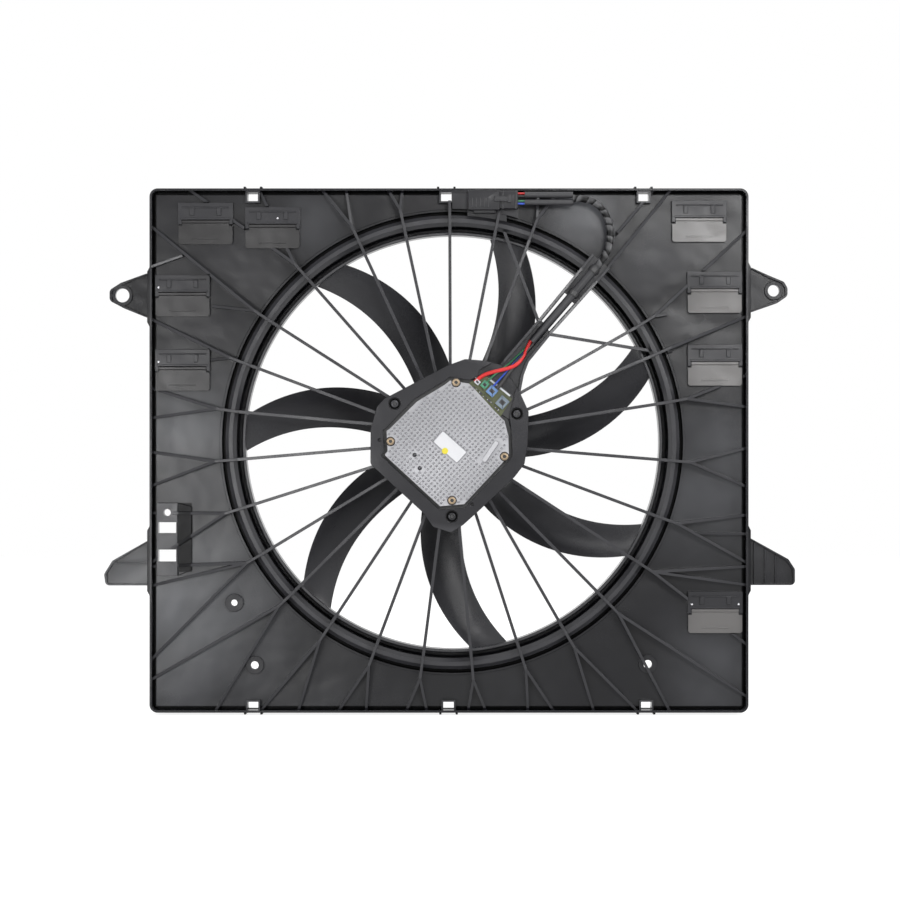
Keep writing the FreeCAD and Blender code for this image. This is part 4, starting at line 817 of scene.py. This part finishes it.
# Points read from the route's own spline, in millimetres (x, depth, z)
def splineLine(curveObject):
    curve = curveObject.data
    thick = curve.bevel_depth
    curve.bevel_depth = 0
    bpy.context.view_layer.update()
    mesh = bpy.data.meshes.new_from_object(curveObject.evaluated_get(bpy.context.evaluated_depsgraph_get()))
    spots = np.zeros(3 * len(mesh.vertices))
    mesh.vertices.foreach_get("co", spots)
    bpy.data.meshes.remove(mesh)
    curve.bevel_depth = thick
    return spots.reshape(-1, 3) / (mm, -mm, mm)


# A taped tube about a line: at each place the radius grows from one edge of the tape to the next
# and falls back sharply, where the turn plus the travelled length over the pitch passes a whole
# number. The share of the way between two edges is kept as an attribute, from which the finish paints
# shade and light on each turn.
def makeTaped(name, line, look, replaced):
    run = np.linalg.norm(np.diff(line, axis=0), axis=1)
    travelled = np.concatenate([[0], np.cumsum(run)])
    goal = np.linspace(0, travelled[-1], look["rows"])
    spots = np.stack([np.interp(goal, travelled, line[:, k]) for k in range(3)], axis=1)
    along = np.gradient(spots, axis=0)
    along /= np.linalg.norm(along, axis=1, keepdims=True)
    side = np.cross(along, (0.0, 1.0, 0.0))
    side /= np.linalg.norm(side, axis=1, keepdims=True)
    up = np.cross(side, along)
    turn = np.arange(look["around"]) * 2 * math.pi / look["around"]
    wander = sum(size * np.sin(goal * rate + start) for size, rate, start in look["wander"])
    share = (goal[:, None] / look["pitch"] + wander[:, None] + turn[None, :] / (2 * math.pi)) % 1.0
    rise = np.minimum(share / look["crest"], (1 - share) / (1 - look["crest"]))
    size, rate = look["swell"]
    radius = look["radius"] + look["step"] * (rise - 0.5) + size * np.sin(goal * rate)[:, None]
    circle = side[:, None, :] * np.cos(turn)[None, :, None] + up[:, None, :] * np.sin(turn)[None, :, None]
    points = spots[:, None, :] + radius[:, :, None] * circle
    made = makeMesh(name, points, stackFaces(look["rows"], look["around"]), "tape_black", "shroud", 0)
    marks = made.data.attributes.new("tapeShare", "FLOAT", "POINT")
    marks.data.foreach_set("value", rise.ravel())
    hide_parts(replaced)


def makeCords(rows):
    for name, row in rows.items():
        made = makeCord(name, row["route"], row["radius"], row["finish"])
        if name == "loom":
            line = splineLine(made)
            bpy.data.objects.remove(made)
            makeTaped("tapedLoom", line, tapeLook, row["node"])
        else:
            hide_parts(row["node"])


makeCords(cordLook)

# Short tails of the wires between the plug and its sleeves
tailLook = {"across": (72.0, 76.5, 81.0), "depth": 57.0, "radius": 1.1, "rows": [
    ("tailRed", 275.9, "wire_red"), ("tailBlack", 272.9, "wire_black"),
    ("tailGreen", 267.6, "wire_green"), ("tailBlue", 264.6, "wire_blue")]}
for tailName, tailHeight, tailFinish in tailLook["rows"]:
    tailPoints = [(x, tailLook["depth"], tailHeight) for x in tailLook["across"]]
    makeCord(tailName, tailPoints, tailLook["radius"], tailFinish)
print("cords made")

# Plug: a housing in two heights with ribs along its back and a latch
plugLook = {"left": 17.5, "middle": 52.15, "right": 72.5, "low": 257.4, "high": 279.4, "near": 46.0,
            "far": 66.0, "shelf": 254.4, "ribs": 5, "ribFrom": 3.5, "ribPitch": 4.4, "latchDown": 10.0}


def makePlug(look):
    left, middle, right, low, high = look["left"], look["middle"], look["right"], look["low"], look["high"]
    near, far = look["near"], look["far"]

    def block(x0, x1, z0, z1, corner):
        return roundOutline([(x0, z0), (x1, z0), (x1, z1), (x0, z1)], corner, 4)

    rows = [(block(left, middle, low, high, 0.8), [(0, near), (0, far - 0.7), (0.25, far - 0.2), (0.8, far)]),
            (block(middle - 0.6, right, low + 1.5, high - 1.2, 0.8),
             [(0, near), (0, far - 2.7), (0.25, far - 2.2), (0.8, far - 2)]),
            (block(left + 6, middle - 4, look["shelf"], low + 0.5, 0.5),
             blockSteps(near, near + 9, 0.4, 0.4))]
    steps = blockSteps(far - 0.5, far + 0.6, 0.3, 0.25)
    for index in range(look["ribs"]):
        x = left + look["ribFrom"] + index * look["ribPitch"]
        rows.append((block(x, x + 1.6, low + 2.5, low + 13.0, 0.4), steps))
    steps = blockSteps(near + 0.5, far - 1.4, 0.3, 0.2)
    for x in (middle + 3.0, right - 3.4):
        rows.append((block(x, x + 1.8, low + 1.0, high - 0.8, 0.4), steps))
    made = makeStacks("plugBody", rows, "plug_grey")
    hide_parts("plug_housing")
    z = high - look["latchDown"]
    rows = [(block(middle - 6, middle + 13, z - 3.0, z + 3.0, 1.0), blockSteps(far - 2, far + 2.4, 0.5, 0.5)),
            (block(middle + 9, middle + 13, z - 4.5, z + 4.5, 0.8), blockSteps(far - 2, far + 3.9, 0.6, 0.5)),
            (block(middle - 4.4, middle + 1.5, z - 1.5, z + 1.5, 0.6),
             blockSteps(far + 1.8, far + 3.0, 0.3, 0.2))]
    made = makeStacks("plugLatch", rows, "plug_grey")
    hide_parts("plug_latch")

makePlug(plugLook)
print("plug made")

# Board edge outside the cover: small parts in rows along the edge, each with its place, length,
# width and height, and solder pads
boardLook = {
    "surface": 67.6, "turn": -42.0, "padRadius": 0.75,
    "parts": [(24.0, 60.6, 2.4, 1.4, 0.9), (28.8, 57.6, 1.6, 1.0, 0.8), (31.6, 54.0, 3.0, 2.0, 1.2),
              (35.2, 52.6, 1.6, 1.0, 0.8), (37.4, 49.2, 2.2, 1.4, 0.9), (40.6, 46.0, 3.2, 2.4, 1.4),
              (44.0, 43.0, 1.6, 1.0, 0.8), (46.4, 40.2, 2.2, 1.2, 0.8), (49.0, 37.2, 2.6, 1.8, 1.2),
              (51.4, 33.8, 1.6, 1.0, 0.8), (33.4, 57.8, 1.2, 0.8, 0.6), (43.6, 46.8, 1.2, 0.8, 0.6)],
    "pads": [(26.6, 58.6), (30.2, 55.6), (34.0, 50.6), (38.6, 47.0), (42.4, 44.2), (47.6, 38.2),
             (50.4, 35.6)],
}


def makeBoardParts(look):
    surface = look["surface"]
    rows = [(boxOutline(x, z, length, width, look["turn"]),
             blockSteps(surface - 0.05, surface + height, 0.15, 0.15))
            for x, z, length, width, height in look["parts"]]
    makeStacks("smallParts", rows, "capacitor_grey")
    steps = [(0, surface - 0.05), (0.1, surface + 0.18), (0.35, surface + 0.3)]
    pads = [(circleOutline(x, z, look["padRadius"], 16), steps) for x, z in look["pads"]]
    makeStacks("solderPads", pads, "bearing_steel")


makeBoardParts(boardLook)

# Plastic cradle under the terminals, between the cover and the mount
cradleLook = {
    "outline": [(20.0, 62.0), (48.0, 34.0), (64.0, 24.0), (70.5, 38.0), (71.0, 50.0), (60.0, 62.0),
                (41.0, 75.0)],
    "corner": 2.0, "near": 58.6, "far": 65.6,
}


def makeCradle(look):
    outline = roundOutline(look["outline"], look["corner"], 4)
    makeStack("terminalCradle", outline, blockSteps(look["near"], look["far"], 0.6, 0.6), "tie_black")


makeCradle(cradleLook)

# Tops of the terminal blocks: a raised frame round a slot, painted dark as painted shade in its
# recess, with its clamp screw. A row has the name, the place, the length and width, the depth of the
# top and the finish.
terminalLook = {
    "rows": [("Red", 27.5, 66.5, 6.0, 5.0, 74.6, "terminal_white"),
             ("Green", 35.6, 63.6, 7.0, 8.0, 76.6, "terminal_green"),
             ("Blue", 43.6, 56.4, 10.0, 10.0, 77.6, "terminal_blue"),
             ("Grey", 55.0, 44.0, 11.0, 12.0, 74.6, "terminal_grey")],
    "turn": -42.0, "frame": 0.9, "rise": 0.7, "slotShare": (0.55, 0.42), "screwShare": 0.16,
}


def makeTerminals(look):
    turn, inner = look["turn"], look["frame"]
    shadedSlots = []
    screws = []
    for name, x, z, length, width, top, finish in look["rows"]:
        crest = top + look["rise"]
        steps = [(0.05, top - 0.2), (0.05, crest - 0.2), (0.25, crest), (inner, crest), (inner, top + 0.1)]
        makeStack("terminalTop" + name, roundBox(x, z, length, width, 0.4, turn), steps, finish)
        along, across = look["slotShare"]
        slot = roundBox(x, z, length * along, width * across, 0.3, turn)
        shadedSlots.append((slot, blockSteps(top - 0.1, top + 0.25, 0.1, 0.05)))
        screw = circleOutline(x, z, min(length, width) * look["screwShare"], 20)
        screws.append((screw, blockSteps(top, top + 0.45, 0.15, 0.1)))
    # Painted shade in the slots
    makeStacks("terminalSlotShades", shadedSlots, "tie_black")
    makeStacks("terminalScrews", screws, "black_steel")


makeTerminals(terminalLook)

# Details at each flap's hinge: two tabs and two strips on the panel, and a rib and two small cams
# on the flap itself. A row has the place beside the flap's middle, the width and height, the
# corner, the low and high depth, and how the top edge is drawn in. Pips are small round pips in a
# bright steel finish, as painted glints.
flapLook = {
    "centres": [(-274.9, 243.6), (-200.4, 238.9), (-300.5, 163.2), (-300.5, 80.4), (274.7, 246.1),
                (291.9, 167.1), (292.2, 86.0), (292.5, -189.3)],
    "onPanel": [(-15.0, 13.0, 5.0, 9.0, 0.8, 41.5, 43.5, 0.5, 0.5),
                (15.0, 13.0, 5.0, 9.0, 0.8, 41.5, 43.5, 0.5, 0.5),
                (0.0, 17.8, 52.0, 1.6, 0.5, 41.5, 42.9, 0.4, 0.4),
                (0.0, 5.25, 56.0, 2.3, 0.4, 41.2, 42.4, 0.3, 0.3)],
    "onFlap": [(0.0, -17.0, 30.0, 1.4, 0.5, 40.6, 41.3, 0.3, 0.2),
               (-14.5, 0.2, 4.2, 3.0, 0.8, 40.4, 40.95, 0.2, 0.15),
               (14.5, 0.2, 4.2, 3.0, 0.8, 40.4, 40.95, 0.2, 0.15)],
    "glintPips": [(-327.3, 172.2), (-327.3, 89.4), (-194.6, 249.2), (266.5, -180.3), (318.5, -180.3)],
    "pipRadius": 1.3, "pipSteps": [(0, 41.6), (0.1, 42.4), (0.5, 42.8), (1.0, 42.95)],
}


def hingeRows(x, z, details):
    return [(roundBox(x + across, z + up, width, height, corner), blockSteps(*steps))
            for across, up, width, height, corner, *steps in details]


def makeFlapDetails(look):
    rows = [row for x, z in look["centres"] for row in hingeRows(x, z, look["onPanel"])]
    makeStacks("hingeTabs", rows, "shroud_black")
    # Painted glints: bright steel pips
    glintPips = [(circleOutline(x, z, look["pipRadius"], 20), look["pipSteps"]) for x, z in look["glintPips"]]
    makeStacks("hingeGlintPips", glintPips, "bearing_steel")
    for index, (x, z) in enumerate(look["centres"], 1):
        rows = hingeRows(x, z, look["onFlap"])
        makeStacks("flapRibs%d" % index, rows, "flap_grey", "flap_body_%d" % index)


makeFlapDetails(flapLook)
print("details made")


# Camera at the photograph's angle: a long lens square to the plate.
cameraLook = {
    "pixel": 1.112 * mm,      # real length of one picture pixel at the plate
    "fanPixel": (452.5, 442.3),
    "middlePixel": (450.0, 450.0),
    "distance": 4.2,
    "plateDepth": 0.045,
    "pictureSize": 900,
}


def addCamera(look):
    data = bpy.data.cameras.new("camera")
    width = look["pictureSize"] * look["pixel"]
    reach = look["distance"] - look["plateDepth"]
    data.sensor_width = 36.0
    data.lens = data.sensor_width * reach / width
    camera = bpy.data.objects.new("camera", data)
    scene.collection.objects.link(camera)
    x = (look["middlePixel"][0] - look["fanPixel"][0]) * look["pixel"]
    z = (look["fanPixel"][1] - look["middlePixel"][1]) * look["pixel"]
    camera.location = (x, -look["distance"], z)
    camera.rotation_euler = (math.radians(90), 0, 0)
    data.clip_end = 50.0
    scene.camera = camera


addCamera(cameraLook)

# Soft studio: a key and a fill beside the lens, a lamp on each side, a strip above and two behind
lampLook = [
    {"name": "key", "at": (0.72, -3.9, 0.72), "size": (0.7, 0.5), "power": 23.0},
    {"name": "fill", "at": (-0.9, -3.9, -0.08), "size": (0.7, 0.3), "power": 14.0},
    {"name": "rightSide", "at": (2.4, -1.5, 0.7), "size": (0.8, 1.4), "power": 26.0},
    {"name": "leftSide", "at": (-2.3, -1.5, 0.5), "size": (0.7, 1.2), "power": 18.0},
    {"name": "strip", "at": (0.2, -0.9, 2.2), "size": (2.0, 0.7), "power": 18.0},
    {"name": "backRight", "at": (-1.3, 3.2, 1.1), "size": (1.0, 0.8), "power": 30.0},
    {"name": "backLeft", "at": (1.5, 2.8, 0.6), "size": (0.8, 1.0), "power": 20.0},
]


def addLamp(look):
    data = bpy.data.lights.new(look["name"], "AREA")
    data.shape = "RECTANGLE"
    data.size, data.size_y = look["size"]
    data.energy = look["power"]
    lamp = bpy.data.objects.new(look["name"], data)
    scene.collection.objects.link(lamp)
    lamp.location = look["at"]
    lamp.rotation_euler = (-Vector(look["at"])).to_track_quat("-Z", "Y").to_euler()


for lampRow in lampLook:
    addLamp(lampRow)


# The world is white to the camera, in reflections and through glass, and plain grey to the rest.
def setWorld(ambient):
    world = bpy.data.worlds.new("studio")
    scene.world = world
    world.use_nodes = True
    world.node_tree.nodes.clear()
    made = Nodes(world.node_tree)
    soft = made.node("ShaderNodeBackground", Color=(1, 1, 1), Strength=ambient)
    white = made.node("ShaderNodeBackground", Color=(1, 1, 1), Strength=1.0)
    sky = made.node("ShaderNodeMixShader", None,
                    {0: made.seenRays(), 1: soft.outputs[0], 2: white.outputs[0]})
    made.node("ShaderNodeOutputWorld", Surface=sky.outputs[0])


setWorld(ambient=0.32)
scene.view_settings.view_transform = "Standard"

# A pale floor under the part that stays white to the camera apart from a soft contact shadow
floorLook = {"half": 6.0, "gap": 0.0005, "base": 0.92, "seenBase": 0.30, "seenGlow": 0.85}


def addFloor(look):
    low, half = cadLow.z - look["gap"], look["half"]
    mesh = bpy.data.meshes.new("floor")
    corners = [(-half, -half, low), (half, -half, low), (half, half, low), (-half, half, low)]
    mesh.from_pydata(corners, [], [(0, 1, 2, 3)])
    floor = bpy.data.objects.new("floor", mesh)
    scene.collection.objects.link(floor)
    made = Finish("floor")
    seen = made.seenRays()
    base = made.blend(seen, [look["base"]] * 3, [look["seenBase"]] * 3)
    glow = made.blend(seen, [0.0] * 3, [look["seenGlow"]] * 3)
    made.set(Base_Color=base, Roughness=0.9, Emission_Color=glow, Emission_Strength=1.0)
    mesh.materials.append(made.material)


addFloor(floorLook)
print("studio set")
